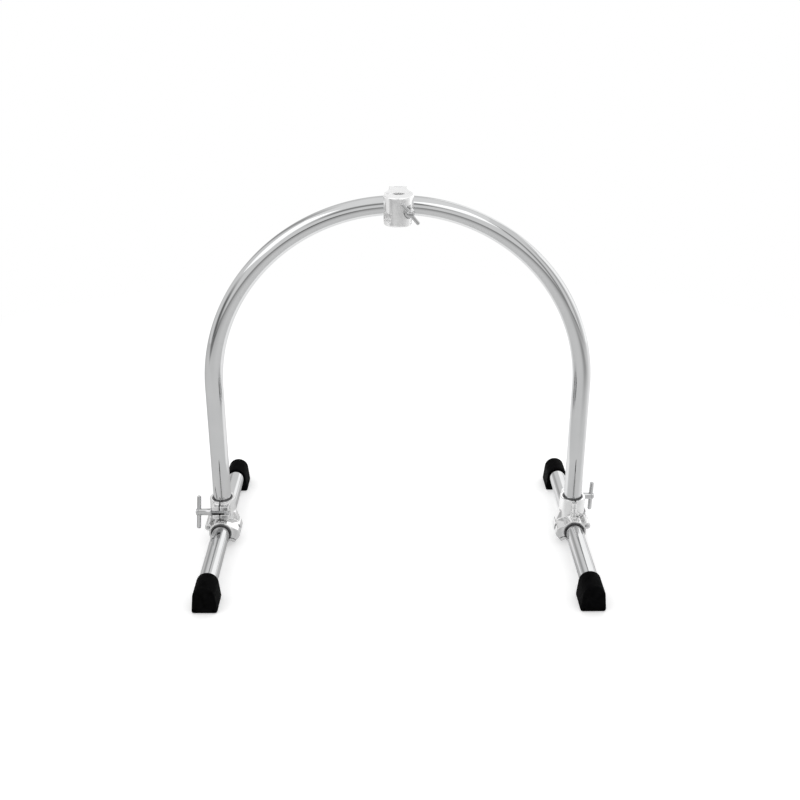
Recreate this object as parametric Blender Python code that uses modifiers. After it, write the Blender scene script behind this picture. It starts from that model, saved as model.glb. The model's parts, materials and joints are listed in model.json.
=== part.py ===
"""Drum docking frame: a bent tube arch that stands over a bass drum on two sliding legs.

Metres, +Z up, +X to the right as the audience sees it. The origin lies on the floor
in the middle of the four rubber feet.
"""
from math import acos, cos, pi, radians, sin, sqrt

import bmesh
import bpy
from mathutils import Matrix, Vector

# Tube and fits
TUBE_DIAMETER = 0.0381
TUBE_WALL = 0.002
CLEARANCE = 0.0003
BUSH_WALL = 0.002
BUSH_FLANGE = 0.0016
BUSH_FLANGE_HEIGHT = 0.0014
SPLIT_GAP = 0.0024
CASTING_STEP = 0.0004
OVERLAP = 0.001

# Arch
ARC_RADIUS = 0.385
ARC_CENTRE_HEIGHT = 0.3604
ARCH_OFFSET = 0.018
ARC_STEPS = 36
ARC_RUN_CLEARANCE = 0.0006
ARC_RUN_TURN = 0.16

# Legs and feet
LEG_AXIS_HEIGHT = 0.0354
LEG_HALF_LENGTH = 0.2815
FOOT_LENGTH = 0.0605
FOOT_END_WALL = 0.0125
FOOT_WALL = 0.0035
SOLE_WIDTH = 0.0525
FOOT_ROUNDING = 0.005
TREAD_DEPTH = 0.0015
TREAD_WIDTH = 0.004
TREAD_PITCH = 0.013

# Collar round each end of the arch
COLLAR_WALL = 0.0058
COLLAR_FLOOR_WALL = 0.0026
COLLAR_HEIGHT = 0.038
SPLIT_OFFSET = 0.002
HINGE_REACH = 0.0315
KNUCKLE_RADIUS = 0.0055
HINGE_PIN_RADIUS = 0.0025
PIN_FLOOR = 0.0018
KNUCKLE_HEIGHT = 0.0125
EAR_DEPTH = 0.0065
EAR_LENGTH = 0.0155
EAR_MARGIN = 0.0035
EAR_ROUNDING = 0.003
EAR_BACKING = 0.002
EAR_ROOT_SHARE = 0.75
COLLAR_ROOT = 0.010
RIM_ROUNDING = 0.0016
BARREL_SINK = 0.002
BARREL_DROP = 0.0008
WEB_FLARE = 0.002
WEB_NECK = 0.0045
WEB_NECK_BEYOND = 0.0005
WEB_EDGE_BEYOND = 0.0012
PIN_STAND = 0.0006

# Swing bolt and T-handle
BOLT_RADIUS = 0.004
BOLT_REACH = 0.033
PIVOT_OFFSET = 0.0115
EYE_RADIUS = 0.0055
EYE_HEIGHT = 0.0094
FORK_SLOT = 0.010
WASHER_THICKNESS = 0.0009
NUT_RADIUS = 0.0082
NUT_LENGTH = 0.0345
BAR_RADIUS = 0.0046
BAR_LENGTH = 0.072
BAR_FROM_END = 0.0074
BAR_END_SHARE = 0.8
NUT_TAPER = 0.0008
NUT_CROWN_DROP = 0.003
NUT_SHOULDER = 0.006
NUT_WAIST_SHARE = 0.45
NUT_NECK = 0.0006
NUT_NECK_HEIGHT = 0.004
NUT_FOOT_HEIGHT = 0.0025
NUT_BORE_WALL = 0.0012
BOLT_END_GAP = 0.0018
LEFT_BAR_TILT = radians(26)
RIGHT_BAR_TILT = radians(4)

# Sleeve round each leg
SLEEVE_WALL = 0.0045
SLEEVE_FRONT = 0.052
SLEEVE_REAR = 0.036
SPLIT_TILT = radians(30)
LEG_HINGE_REACH = 0.030
LEG_KNUCKLE_RADIUS = 0.0082
LEG_PIN_RADIUS = 0.003
LUG_BOLT_REACH = 0.0325
LUG_REACH = 0.0375
LUG_REAR = 0.004
LUG_BOLT_FORWARD = 0.028
JAW_LUG_THICKNESS = 0.0075
BODY_LUG_THICKNESS = 0.0165
LEG_PIN_STAND = 0.0008
LEG_KNUCKLE_INSET_FRONT = 0.026
LEG_KNUCKLE_INSET_REAR = 0.016
JAW_LUG_ROOT = 0.002
JAW_LUG_LOW_ROOT = 0.004
JAW_LUG_DRAFT = 0.001
JAW_LUG_ROUNDING = 0.003
JAW_LUG_SETBACK = 0.003
BODY_LUG_ROOT = 0.003
BODY_LUG_SPREAD = 0.0015
BODY_LUG_SHOULDER = 0.004
BODY_LUG_BACK = 0.008
BODY_LUG_RISE = 0.007
BODY_LUG_TUCK = (0.010, 0.022)
BODY_LUG_BENDS = (0, 0, 0.004, 0.005, 0)
BODY_LUG_SETBACK = 0.002
GUSSET_INSIDE = 0.015
GUSSET_OUTSIDE = 0.0385
GUSSET_BOTTOM = -0.004
GUSSET_SHOULDER = (0.0375, 0.002)
GUSSET_WAIST_HEIGHT = 0.030
GUSSET_TOP = 0.040
GUSSET_BENDS = (0, 0, 0.006, 0.004, 0)
GUSSET_FRONT = 0.014

# Drum-key bolts
KEY_BOLT_RADIUS = 0.0029
KEY_HEAD_WIDTH = 0.0063
KEY_HEAD_HEIGHT = 0.0055
KEY_WASHER_RADIUS = 0.0062
KEY_WASHER_THICKNESS = 0.001
KEY_NUT_RADIUS = 0.0056
KEY_NUT_HEIGHT = 0.005
KEY_SLOT_WIDTH = 0.0068
KEY_SLOT_ROOM = 0.001
KEY_SHANK_OVERLAP = 0.002
KEY_THREAD_FIT = 0.0001
KEY_TIP_STAND = 0.001
CROWN_KEY_TIP_STAND = 0.0015

# Clamp on the crown of the arch
CROWN_HALF_WIDTH = 0.018
CROWN_WALL = 0.0062
CROWN_TOP = 0.0326
CROWN_BOTTOM = -0.0244
POST_DIAMETER = 0.0222
POST_FIT = 0.0006
POST_REACH = 0.044
POST_SHELL_RADIUS = 0.029
POST_SHELL_REACH = 0.054
POST_HINGE_SIDE = 0.0215
POST_SEAT_REACH = 0.072
POST_SEAT_RADIUS = 0.0135
POST_PIVOT_REACH = 0.0375
POST_NUT_LENGTH = 0.0225
POST_BAR_LENGTH = 0.052
POST_BAR_RADIUS = 0.0037
POST_BAR_FROM_END = 0.0055
POST_BAR_TILT = radians(-50)
CROWN_HINGE_BACK = 0.019
CROWN_HINGE_UP = 0.0255
CROWN_KNUCKLE_RADIUS = 0.0068
CROWN_KNUCKLE_GAP_AT = 0.010
CROWN_EAR_DROP = 0.0315
CROWN_EAR_WIDTH = 0.016
CROWN_EAR_THICKNESS = 0.0115
CROWN_EAR_END = 0.006
CROWN_EAR_ROUNDING = 0.005
CROWN_WAIST_INSET = 0.0015
CROWN_WAIST_END = -0.033
CROWN_NECK_END = -0.009
CROWN_PLAN_ROUNDING = 0.006
CROWN_POCKET_ROOM = 0.001
EYE_ROOM = 0.0005
POST_PIVOT_FLOOR = 0.006
POST_KNUCKLE_CUT_SIDE = 0.0008
POST_KNUCKLE_CUT_BACK = 0.0045
POST_KNUCKLE_CUT_FRONT = 0.0027
POST_RIM_ROUNDING = 0.003
POST_BOLT_ROOM = 0.0006
POST_SEAT_SHIFT = 0.0015
POST_RECESS_START = 0.010

# Smoothness of round pieces
WIDE_SIDES = 24
TUBE_SIDES = 20
MEDIUM_SIDES = 16
SMALL_SIDES = 12
CORNER_STEPS = 3
FOOT_ARC_STEPS = 12
ARC_RUN_STEPS = 8
ARC_RUN_SMOOTHNESS = 14
SOFT_SEGMENTS = 2
SOFT_ANGLE = radians(50)
SMOOTH_ANGLE = radians(32)

# Sizes that follow from the ones above
TUBE_RADIUS = TUBE_DIAMETER / 2
BUSH_BORE = TUBE_RADIUS + CLEARANCE
BUSH_RADIUS = BUSH_BORE + BUSH_WALL
COLLAR_BORE = BUSH_RADIUS + CLEARANCE
COLLAR_RADIUS = COLLAR_BORE + COLLAR_WALL
COLLAR_FLOOR = LEG_AXIS_HEIGHT + COLLAR_BORE + COLLAR_FLOOR_WALL
COLLAR_TOP = COLLAR_FLOOR + COLLAR_HEIGHT
COLLAR_MIDDLE = (COLLAR_FLOOR + COLLAR_TOP) / 2
SLEEVE_RADIUS = COLLAR_BORE + SLEEVE_WALL
CROWN_HEIGHT = ARC_CENTRE_HEIGHT + ARC_RADIUS
CROWN_MIDDLE = (CROWN_TOP + CROWN_BOTTOM) / 2
LEG_KNUCKLE_FRONT = SLEEVE_FRONT - LEG_KNUCKLE_INSET_FRONT
LEG_KNUCKLE_REAR = LEG_KNUCKLE_INSET_REAR - SLEEVE_REAR
KNUCKLE_GAP = 1.3 * CLEARANCE
ARC_SAG = ARC_RADIUS - sqrt(ARC_RADIUS ** 2 - CROWN_HALF_WIDTH ** 2)
CROWN_BUSH_BORE = TUBE_RADIUS + ARC_RUN_CLEARANCE
CROWN_BUSH_RADIUS = CROWN_BUSH_BORE + BUSH_WALL + ARC_SAG
CROWN_BORE = CROWN_BUSH_RADIUS + CLEARANCE
CROWN_RADIUS = CROWN_BORE + CROWN_WALL
POST_BORE = POST_DIAMETER / 2 + POST_FIT / 2
FAR = 0.2

# Sections of the crown castings, as points back and up from the arch's centre line
CROWN_SADDLE = ((-0.010, 0.012), (-0.010, CROWN_TOP), (CROWN_HINGE_BACK - 0.0035, CROWN_TOP),
                (CROWN_HINGE_BACK - 0.0015, CROWN_HINGE_UP + 0.0055),
                (CROWN_HINGE_BACK + 0.004, CROWN_HINGE_UP - 0.004), (0.010, 0.0165))
ARCH_JAW_ROOF = ((-SPLIT_GAP / 2, 0.0145), (0.010, 0.0155), (CROWN_HINGE_BACK + 0.005, 0.0175),
                 (FAR, 0.0175), (FAR, FAR), (-SPLIT_GAP / 2, FAR))
ARCH_JAW_ARM = ((0.0126, 0.008), (0.0126, CROWN_HINGE_UP), (CROWN_HINGE_BACK, CROWN_HINGE_UP + 0.003),
                (CROWN_HINGE_BACK + CROWN_KNUCKLE_RADIUS - 0.001, CROWN_HINGE_UP),
                (CROWN_RADIUS - 0.001, 0.006), (CROWN_RADIUS - 0.003, 0))

# Recess beside the post jaw's hinge, as points across and up
POST_RECESS = ((-FAR, 0.005), (-0.0125, 0.001), (-0.0165, -0.016), (-FAR, -0.020))

# The crown clamp's frame: origin on the arch's centre line at the crown
CROWN = Matrix.Translation((0, ARCH_OFFSET, CROWN_HEIGHT))

COLORS = {
    "chrome": ((0.80, 0.81, 0.82, 1), 0.08, 1.0),
    "steel": ((0.55, 0.56, 0.58, 1), 0.25, 1.0),
    "rubber": ((0.012, 0.012, 0.013, 1), 0.7, 0.0),
    "nylon": ((0.02, 0.02, 0.022, 1), 0.45, 0.0),
}


def clear_scene():
    for thing in list(bpy.data.objects):
        bpy.data.objects.remove(thing, do_unlink=True)


def new_collection(name):
    collection = bpy.data.collections.new(name)
    bpy.context.scene.collection.children.link(collection)
    return collection


def material(node, kind):
    color, roughness, metallic = COLORS[kind]
    made = bpy.data.materials.new(node)
    made.use_nodes = True
    shader = made.node_tree.nodes["Principled BSDF"]
    shader.inputs["Base Color"].default_value = color
    shader.inputs["Roughness"].default_value = roughness
    shader.inputs["Metallic"].default_value = metallic
    return made


clear_scene()
PARTS = new_collection("drum_docking_frame")
CUTTERS = new_collection("cutters")


def guide(mesh, name, matrix):
    """A hidden operand for a Boolean, until it is finished as a part."""
    thing = bpy.data.objects.new(name, mesh)
    thing.matrix_world = matrix
    thing.hide_render = True
    thing.display_type = "WIRE"
    CUTTERS.objects.link(thing)
    return thing


def part(thing, name, kind, parent=None):
    """Make a guide a part: name, material, shading and the empty that carries it."""
    thing.name = name
    thing.data.name = name
    thing.hide_render = False
    thing.display_type = "TEXTURED"
    CUTTERS.objects.unlink(thing)
    PARTS.objects.link(thing)
    thing.data.materials.clear()
    thing.data.materials.append(material(name, kind))
    thing.data.shade_smooth()
    thing.data.set_sharp_from_angle(angle=SMOOTH_ANGLE)
    if parent:
        world = thing.matrix_world.copy()
        thing.parent = parent
        thing.matrix_parent_inverse = parent.matrix_world.inverted()
        thing.matrix_world = world
    return thing


def pivot(name, place, parent=None):
    """An empty on a joint's axis, which carries the pieces of one moving body."""
    empty = bpy.data.objects.new(name, None)
    empty.empty_display_size = 0.02
    PARTS.objects.link(empty)
    empty.matrix_world = Matrix.Translation(place)
    if parent:
        bpy.context.view_layer.update()
        empty.parent = parent
        empty.matrix_parent_inverse = parent.matrix_world.inverted()
    bpy.context.view_layer.update()
    return empty


def boolean(target, other, operation):
    modifier = target.modifiers.new(other.name, "BOOLEAN")
    modifier.object = other
    modifier.operation = operation
    modifier.solver = "EXACT"


def join(target, *others):
    for other in others:
        boolean(target, other, "UNION")
    return target


def cut(target, *others):
    for other in others:
        boolean(target, other, "DIFFERENCE")
    return target


def upright(frame):
    """The frame's turn and place without its mirror, and the mirror's sign."""
    sign = -1 if frame.determinant() < 0 else 1
    return frame @ Matrix.Diagonal((sign, 1, 1, 1)), sign


def rod(frame, start, end, radius, sides=WIDE_SIDES, end_radius=None):
    """A cylinder or cone between two points."""
    start, end = frame @ Vector(start), frame @ Vector(end)
    along = end - start
    mesh = bpy.data.meshes.new("rod")
    shape = bmesh.new()
    bmesh.ops.create_cone(shape, cap_ends=True, segments=sides, radius1=radius,
                          radius2=radius if end_radius is None else end_radius,
                          depth=along.length)
    shape.to_mesh(mesh)
    shape.free()
    turn = along.to_track_quat("Z", "Y").to_matrix().to_4x4()
    return guide(mesh, "rod", Matrix.Translation((start + end) / 2) @ turn)


def block(frame, low, high):
    """A box between two corners."""
    low, high = Vector(low), Vector(high)
    mesh = bpy.data.meshes.new("block")
    shape = bmesh.new()
    bmesh.ops.create_cube(shape, size=1)
    bmesh.ops.scale(shape, vec=high - low, verts=shape.verts)
    shape.to_mesh(mesh)
    shape.free()
    placed, sign = upright(frame)
    centre = (low + high) / 2
    centre.x *= sign
    return guide(mesh, "block", placed @ Matrix.Translation(centre))


def rounded(points, radius):
    """The outline with each corner replaced by an arc."""
    outline = []
    count = len(points)
    radii = radius if isinstance(radius, (list, tuple)) else [radius] * count
    for index, (corner, bend) in enumerate(zip(points, radii)):
        corner = Vector(corner)
        if not bend:
            outline.append(tuple(corner))
            continue
        back = (Vector(points[index - 1]) - corner).normalized()
        ahead = (Vector(points[(index + 1) % count]) - corner).normalized()
        half = acos(max(-1, min(1, back.dot(ahead)))) / 2
        middle = corner + (back + ahead).normalized() * (bend / sin(half))
        first = corner + back * (bend * cos(half) / sin(half)) - middle
        turn = pi - 2 * half
        side = 1 if back.x * ahead.y - back.y * ahead.x > 0 else -1
        for step in range(CORNER_STEPS + 1):
            angle = -side * turn * step / CORNER_STEPS
            outline.append((middle.x + first.x * cos(angle) - first.y * sin(angle),
                            middle.y + first.x * sin(angle) + first.y * cos(angle)))
    return outline


def plate(frame, outline, low, high, across="Z"):
    """A flat outline given thickness along Z, or along Y or X for an upright one."""
    placed, sign = upright(frame)
    turns = {"Z": Matrix.Identity(4),
             "Y": Matrix.Rotation(pi / 2, 4, "X"),
             "X": Matrix.Rotation(pi / 2, 4, "Z") @ Matrix.Rotation(pi / 2, 4, "X")}
    curve = bpy.data.curves.new("outline", "CURVE")
    curve.dimensions = "2D"
    curve.fill_mode = "BOTH"
    curve.extrude = (high - low) / 2
    spline = curve.splines.new("POLY")
    spline.points.add(len(outline) - 1)
    spline.use_cyclic_u = True
    for point, (x, y) in zip(spline.points, outline):
        point.co = (x if across == "X" else x * sign, y, 0, 1)
    middle = (low + high) / 2
    shift = {"Z": (0, 0, middle), "Y": (0, middle, 0), "X": (middle * sign, 0, 0)}[across]
    drawn = bpy.data.objects.new("outline", curve)
    CUTTERS.objects.link(drawn)
    mesh = meshed(drawn)
    return guide(mesh, "plate", placed @ Matrix.Translation(shift) @ turns[across])


def meshed(drawn):
    """The curve's mesh with its caps welded on and made whole; the curve is removed."""
    bpy.context.view_layer.update()
    evaluated = drawn.evaluated_get(bpy.context.evaluated_depsgraph_get())
    mesh = bpy.data.meshes.new_from_object(evaluated)
    shape = bmesh.new()
    shape.from_mesh(mesh)
    bmesh.ops.remove_doubles(shape, verts=shape.verts, dist=1e-6)
    bmesh.ops.dissolve_limit(shape, angle_limit=radians(0.5), verts=shape.verts,
                             edges=shape.edges)
    bmesh.ops.recalc_face_normals(shape, faces=shape.faces)
    shape.to_mesh(mesh)
    shape.free()
    bpy.data.objects.remove(drawn, do_unlink=True)
    return mesh


def turned(frame, start, end, profile, sides):
    """A turned piece: (radius, height) points, heights measured from start towards end."""
    start, end = frame @ Vector(start), frame @ Vector(end)
    mesh = bpy.data.meshes.new("profile")
    ring = profile[0][0] > 0 and profile[-1][0] > 0
    points = [(radius, 0, height) for radius, height in profile]
    edges = [(index, index + 1) for index in range(len(points) - 1)]
    if ring:
        edges.append((len(points) - 1, 0))
    mesh.from_pydata(points, edges, [])
    turn = (end - start).to_track_quat("Z", "Y").to_matrix().to_4x4()
    thing = guide(mesh, "turned", Matrix.Translation(start) @ turn)
    screw = thing.modifiers.new("turn", "SCREW")
    screw.steps = sides
    screw.render_steps = sides
    screw.use_merge_vertices = True
    screw.merge_threshold = 0.00001
    return thing


def dome(radius, top, drop):
    """Profile points of a rounded end, from the axis out and down to the side."""
    return [(radius * sin(pi / 2 * step / CORNER_STEPS),
             top - drop + drop * cos(pi / 2 * step / CORNER_STEPS))
            for step in range(CORNER_STEPS + 1)]


def tube(name, points, sides=TUBE_SIDES):
    """A hollow round tube that follows the points."""
    curve = bpy.data.curves.new(name, "CURVE")
    curve.dimensions = "3D"
    curve.bevel_depth = TUBE_RADIUS
    curve.bevel_resolution = (sides - 4) // 2
    curve.use_fill_caps = False
    spline = curve.splines.new("POLY")
    spline.points.add(len(points) - 1)
    for point, place in zip(spline.points, points):
        point.co = (*place, 1)
    drawn = bpy.data.objects.new(name, curve)
    CUTTERS.objects.link(drawn)
    thing = guide(meshed(drawn), name, Matrix.Identity(4))
    wall = thing.modifiers.new("wall", "SOLIDIFY")
    wall.thickness = TUBE_WALL
    wall.offset = -1
    wall.use_even_offset = True
    return thing


def soften(thing, width, angle=SOFT_ANGLE):
    """Rounds the edges that are sharper than the angle."""
    bevel = thing.modifiers.new("soften", "BEVEL")
    bevel.width = width
    bevel.segments = SOFT_SEGMENTS
    bevel.limit_method = "ANGLE"
    bevel.angle_limit = angle


def bolt_clearance(radius):
    return radius + CLEARANCE


def arch_points():
    """Centre line of the arch from its left end over the crown to its right end."""
    foot = COLLAR_FLOOR + CLEARANCE
    points = [(-ARC_RADIUS, ARCH_OFFSET, foot)]
    for step in range(ARC_STEPS + 1):
        angle = pi * step / ARC_STEPS
        points.append((-ARC_RADIUS * cos(angle), ARCH_OFFSET,
                       ARC_CENTRE_HEIGHT + ARC_RADIUS * sin(angle)))
    points.append((ARC_RADIUS, ARCH_OFFSET, foot))
    return points


def bush_profile(length):
    """A liner with a flange at its outer end; heights run inwards from the mouth."""
    lip = BUSH_RADIUS + BUSH_FLANGE
    rim = -CLEARANCE - BUSH_FLANGE_HEIGHT
    return [(BUSH_RADIUS, length), (BUSH_RADIUS, -CLEARANCE), (lip, -CLEARANCE),
            (lip, rim), (BUSH_BORE, rim), (BUSH_BORE, length)]


def make_arch():
    arch = pivot("arch_frame", (0, ARCH_OFFSET, ARC_CENTRE_HEIGHT))
    part(tube("arch_tube", arch_points()), "arch_tube", "chrome", arch)
    return arch


def foot_outline():
    """Tombstone section of a rubber foot, in X and Z about the leg's axis."""
    wide = SOLE_WIDTH / 2
    round_top = TUBE_RADIUS + FOOT_WALL
    points = [(-wide, -LEG_AXIS_HEIGHT), (wide, -LEG_AXIS_HEIGHT)]
    for step in range(FOOT_ARC_STEPS + 1):
        angle = pi * step / FOOT_ARC_STEPS
        points.append((round_top * cos(angle), round_top * sin(angle)))
    return points


def make_foot(name, frame, front, parent):
    """A rubber foot pushed over one end of a leg; front is -1 or 1 along Y."""
    near = front * (LEG_HALF_LENGTH - FOOT_LENGTH)
    far = front * LEG_HALF_LENGTH
    foot = plate(frame, foot_outline(), min(near, far), max(near, far), "Y")
    soften(foot, FOOT_ROUNDING)
    stop = front * (LEG_HALF_LENGTH - FOOT_END_WALL + CLEARANCE)
    beyond = front * (LEG_HALF_LENGTH - FOOT_LENGTH - FOOT_ROUNDING)
    cut(foot, rod(frame, (0, beyond, 0), (0, stop, 0), BUSH_BORE))
    middle = (near + far) / 2
    for count in (-1, 0, 1):
        centre = middle + count * TREAD_PITCH
        cut(foot, block(frame, (-FAR, centre - TREAD_WIDTH / 2, -FAR),
                        (FAR, centre + TREAD_WIDTH / 2, TREAD_DEPTH - LEG_AXIS_HEIGHT)))
    return part(foot, name, "rubber", parent)


def leg_frame(side):
    """On the leg's axis under the arch's end, with +X inboard on both sides."""
    place = Matrix.Translation((side * ARC_RADIUS, ARCH_OFFSET, LEG_AXIS_HEIGHT))
    return place @ Matrix.Diagonal((-side, 1, 1, 1))


def collar_frame(side):
    """On the floor under the arch's end; the right collar is turned half round."""
    place = Matrix.Translation((side * ARC_RADIUS, ARCH_OFFSET, 0))
    return place @ Matrix.Rotation(0 if side < 0 else pi, 4, "Z")


def split_point(reach, drop):
    """A point in the sleeve's section: reach along its split, drop across it."""
    return (reach * cos(SPLIT_TILT) - drop * sin(SPLIT_TILT),
            -reach * sin(SPLIT_TILT) - drop * cos(SPLIT_TILT))


def section_to_space(section, forward):
    """A point of the sleeve's section, at a distance in front of the arch."""
    return (section[0], -forward, section[1])


def half_plane(frame, start, side):
    """A cutter for all on one side of the sleeve's split, side 1 for below."""
    corners = [split_point(-FAR, start), split_point(FAR, start),
               split_point(FAR, side * FAR), split_point(-FAR, side * FAR)]
    return plate(frame, corners, -FAR, FAR, "Y")


def leg_hinge_point():
    return split_point(-LEG_HINGE_REACH, 0)


def leg_knuckle(frame, front, rear, extra=0.0):
    """A length of the sleeve's hinge barrel, from front to rear of the arch plane."""
    at = leg_hinge_point()
    return rod(frame, (at[0], -front, at[1]), (at[0], -rear, at[1]),
               LEG_KNUCKLE_RADIUS + extra, MEDIUM_SIDES)


def leg_hinge_bore(frame):
    at = leg_hinge_point()
    return rod(frame, (at[0], -FAR, at[1]), (at[0], FAR, at[1]),
               bolt_clearance(LEG_PIN_RADIUS), SMALL_SIDES)


def key_bolt_start():
    """Height of the underside of the key bolt's head below the sleeve's split."""
    return SPLIT_GAP / 2 + JAW_LUG_THICKNESS + CLEARANCE


def make_sleeve_jaw(side, parent):
    """The lower half of the sleeve, hinged on its outboard side."""
    frame = leg_frame(side)
    jaw = rod(frame, (0, -SLEEVE_FRONT, 0), (0, SLEEVE_REAR, 0), SLEEVE_RADIUS)
    start = SPLIT_GAP / 2
    end = start + JAW_LUG_THICKNESS
    lug = [split_point(COLLAR_BORE - JAW_LUG_ROOT, 0), split_point(LUG_REACH, 0),
           split_point(LUG_REACH - JAW_LUG_DRAFT, end),
           split_point(COLLAR_BORE - JAW_LUG_LOW_ROOT, end)]
    join(jaw, plate(frame, rounded(lug, [0, 0, JAW_LUG_ROUNDING, 0]),
                    JAW_LUG_SETBACK - SLEEVE_FRONT, LUG_REAR, "Y"))
    cut(jaw, half_plane(frame, start, -1))
    join(jaw, leg_knuckle(frame, LEG_KNUCKLE_FRONT - CLEARANCE, LEG_KNUCKLE_REAR + CLEARANCE))
    cut(jaw, leg_knuckle(frame, FAR, LEG_KNUCKLE_FRONT, CLEARANCE),
        leg_knuckle(frame, LEG_KNUCKLE_REAR, -FAR, CLEARANCE),
        rod(frame, (0, -FAR, 0), (0, FAR, 0), COLLAR_BORE))
    slot = KEY_SLOT_WIDTH / 2
    inner = LUG_BOLT_REACH - slot
    opening = [split_point(inner, -LUG_REACH), split_point(FAR, -LUG_REACH),
               split_point(FAR, LUG_REACH), split_point(inner, LUG_REACH)]
    cut(jaw, plate(frame, opening, -LUG_BOLT_FORWARD - slot, -LUG_BOLT_FORWARD + slot, "Y"))
    cut(jaw, leg_hinge_bore(frame))
    return part(jaw, name_of(side, "sleeve_jaw"), "chrome", parent)


def name_of(side, piece):
    return ("left_" if side < 0 else "right_") + piece


def ear_outline(low_x, high_x, round_low):
    """Plan of a front ear, with its outer front corner rounded for the bolt's swing."""
    front = -BOLT_REACH - EAR_DEPTH
    back = -COLLAR_BORE * EAR_ROOT_SHARE
    corners = [(low_x, back), (low_x, front), (high_x, front), (high_x, back)]
    bends = [0, EAR_ROUNDING, 0, 0] if round_low else [0, 0, EAR_ROUNDING, 0]
    return rounded(corners, bends)


def fork_slot(frame, back_room):
    """The slot through both front ears in which the swing bolt lies."""
    half = FORK_SLOT / 2
    return block(frame, (-FAR, -FAR, COLLAR_MIDDLE - half),
                 (FAR, -BOLT_REACH + back_room, COLLAR_MIDDLE + half))


def knuckle(frame, low, high, extra=0.0):
    """A length of the upright collar's hinge barrel."""
    return rod(frame, (0, HINGE_REACH, low), (0, HINGE_REACH, high),
               KNUCKLE_RADIUS + extra, MEDIUM_SIDES)


def knuckle_web(frame, low, high, side):
    """Fills the corner between hinge barrel and ring; side -1 is the jaw's."""
    wide = KNUCKLE_RADIUS + WEB_FLARE
    inner = COLLAR_BORE - OVERLAP
    edge = -SPLIT_OFFSET + side * (SPLIT_GAP / 2 + CASTING_STEP)
    spread = [(edge, inner), (side * wide, inner),
              (side * WEB_NECK, HINGE_REACH + WEB_NECK_BEYOND),
              (edge, HINGE_REACH + WEB_EDGE_BEYOND)]
    return plate(frame, spread, low + CASTING_STEP, high - CASTING_STEP)


def body_lug_top():
    """Height of the body's lug above the sleeve's split."""
    return SPLIT_GAP / 2 + BODY_LUG_THICKNESS


def sleeve_lug(leg):
    """The body's lug over the key bolt, tucked into the sleeve."""
    top = body_lug_top()
    outline = [split_point(COLLAR_BORE - BODY_LUG_ROOT, 0), split_point(LUG_REACH, 0),
               split_point(LUG_REACH + BODY_LUG_SPREAD, BODY_LUG_SHOULDER - top),
               split_point(LUG_REACH - BODY_LUG_BACK, -top - BODY_LUG_RISE), BODY_LUG_TUCK]
    return plate(leg, rounded(outline, BODY_LUG_BENDS), BODY_LUG_SETBACK - SLEEVE_FRONT,
                 LUG_REAR, "Y")


def gusset(leg):
    """The rib that runs from the lug up the inboard side of the collar."""
    outline = [(GUSSET_INSIDE, 0.0), (GUSSET_OUTSIDE, GUSSET_BOTTOM), GUSSET_SHOULDER,
               (COLLAR_RADIUS + OVERLAP, GUSSET_WAIST_HEIGHT), (GUSSET_INSIDE, GUSSET_TOP)]
    return plate(leg, rounded(outline, GUSSET_BENDS), -GUSSET_FRONT,
                 LUG_REAR - 2 * CASTING_STEP, "Y")


def upright_knuckle_span():
    """Heights between which the jaw's own knuckle lies."""
    return COLLAR_FLOOR + KNUCKLE_HEIGHT, COLLAR_TOP - KNUCKLE_HEIGHT


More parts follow.
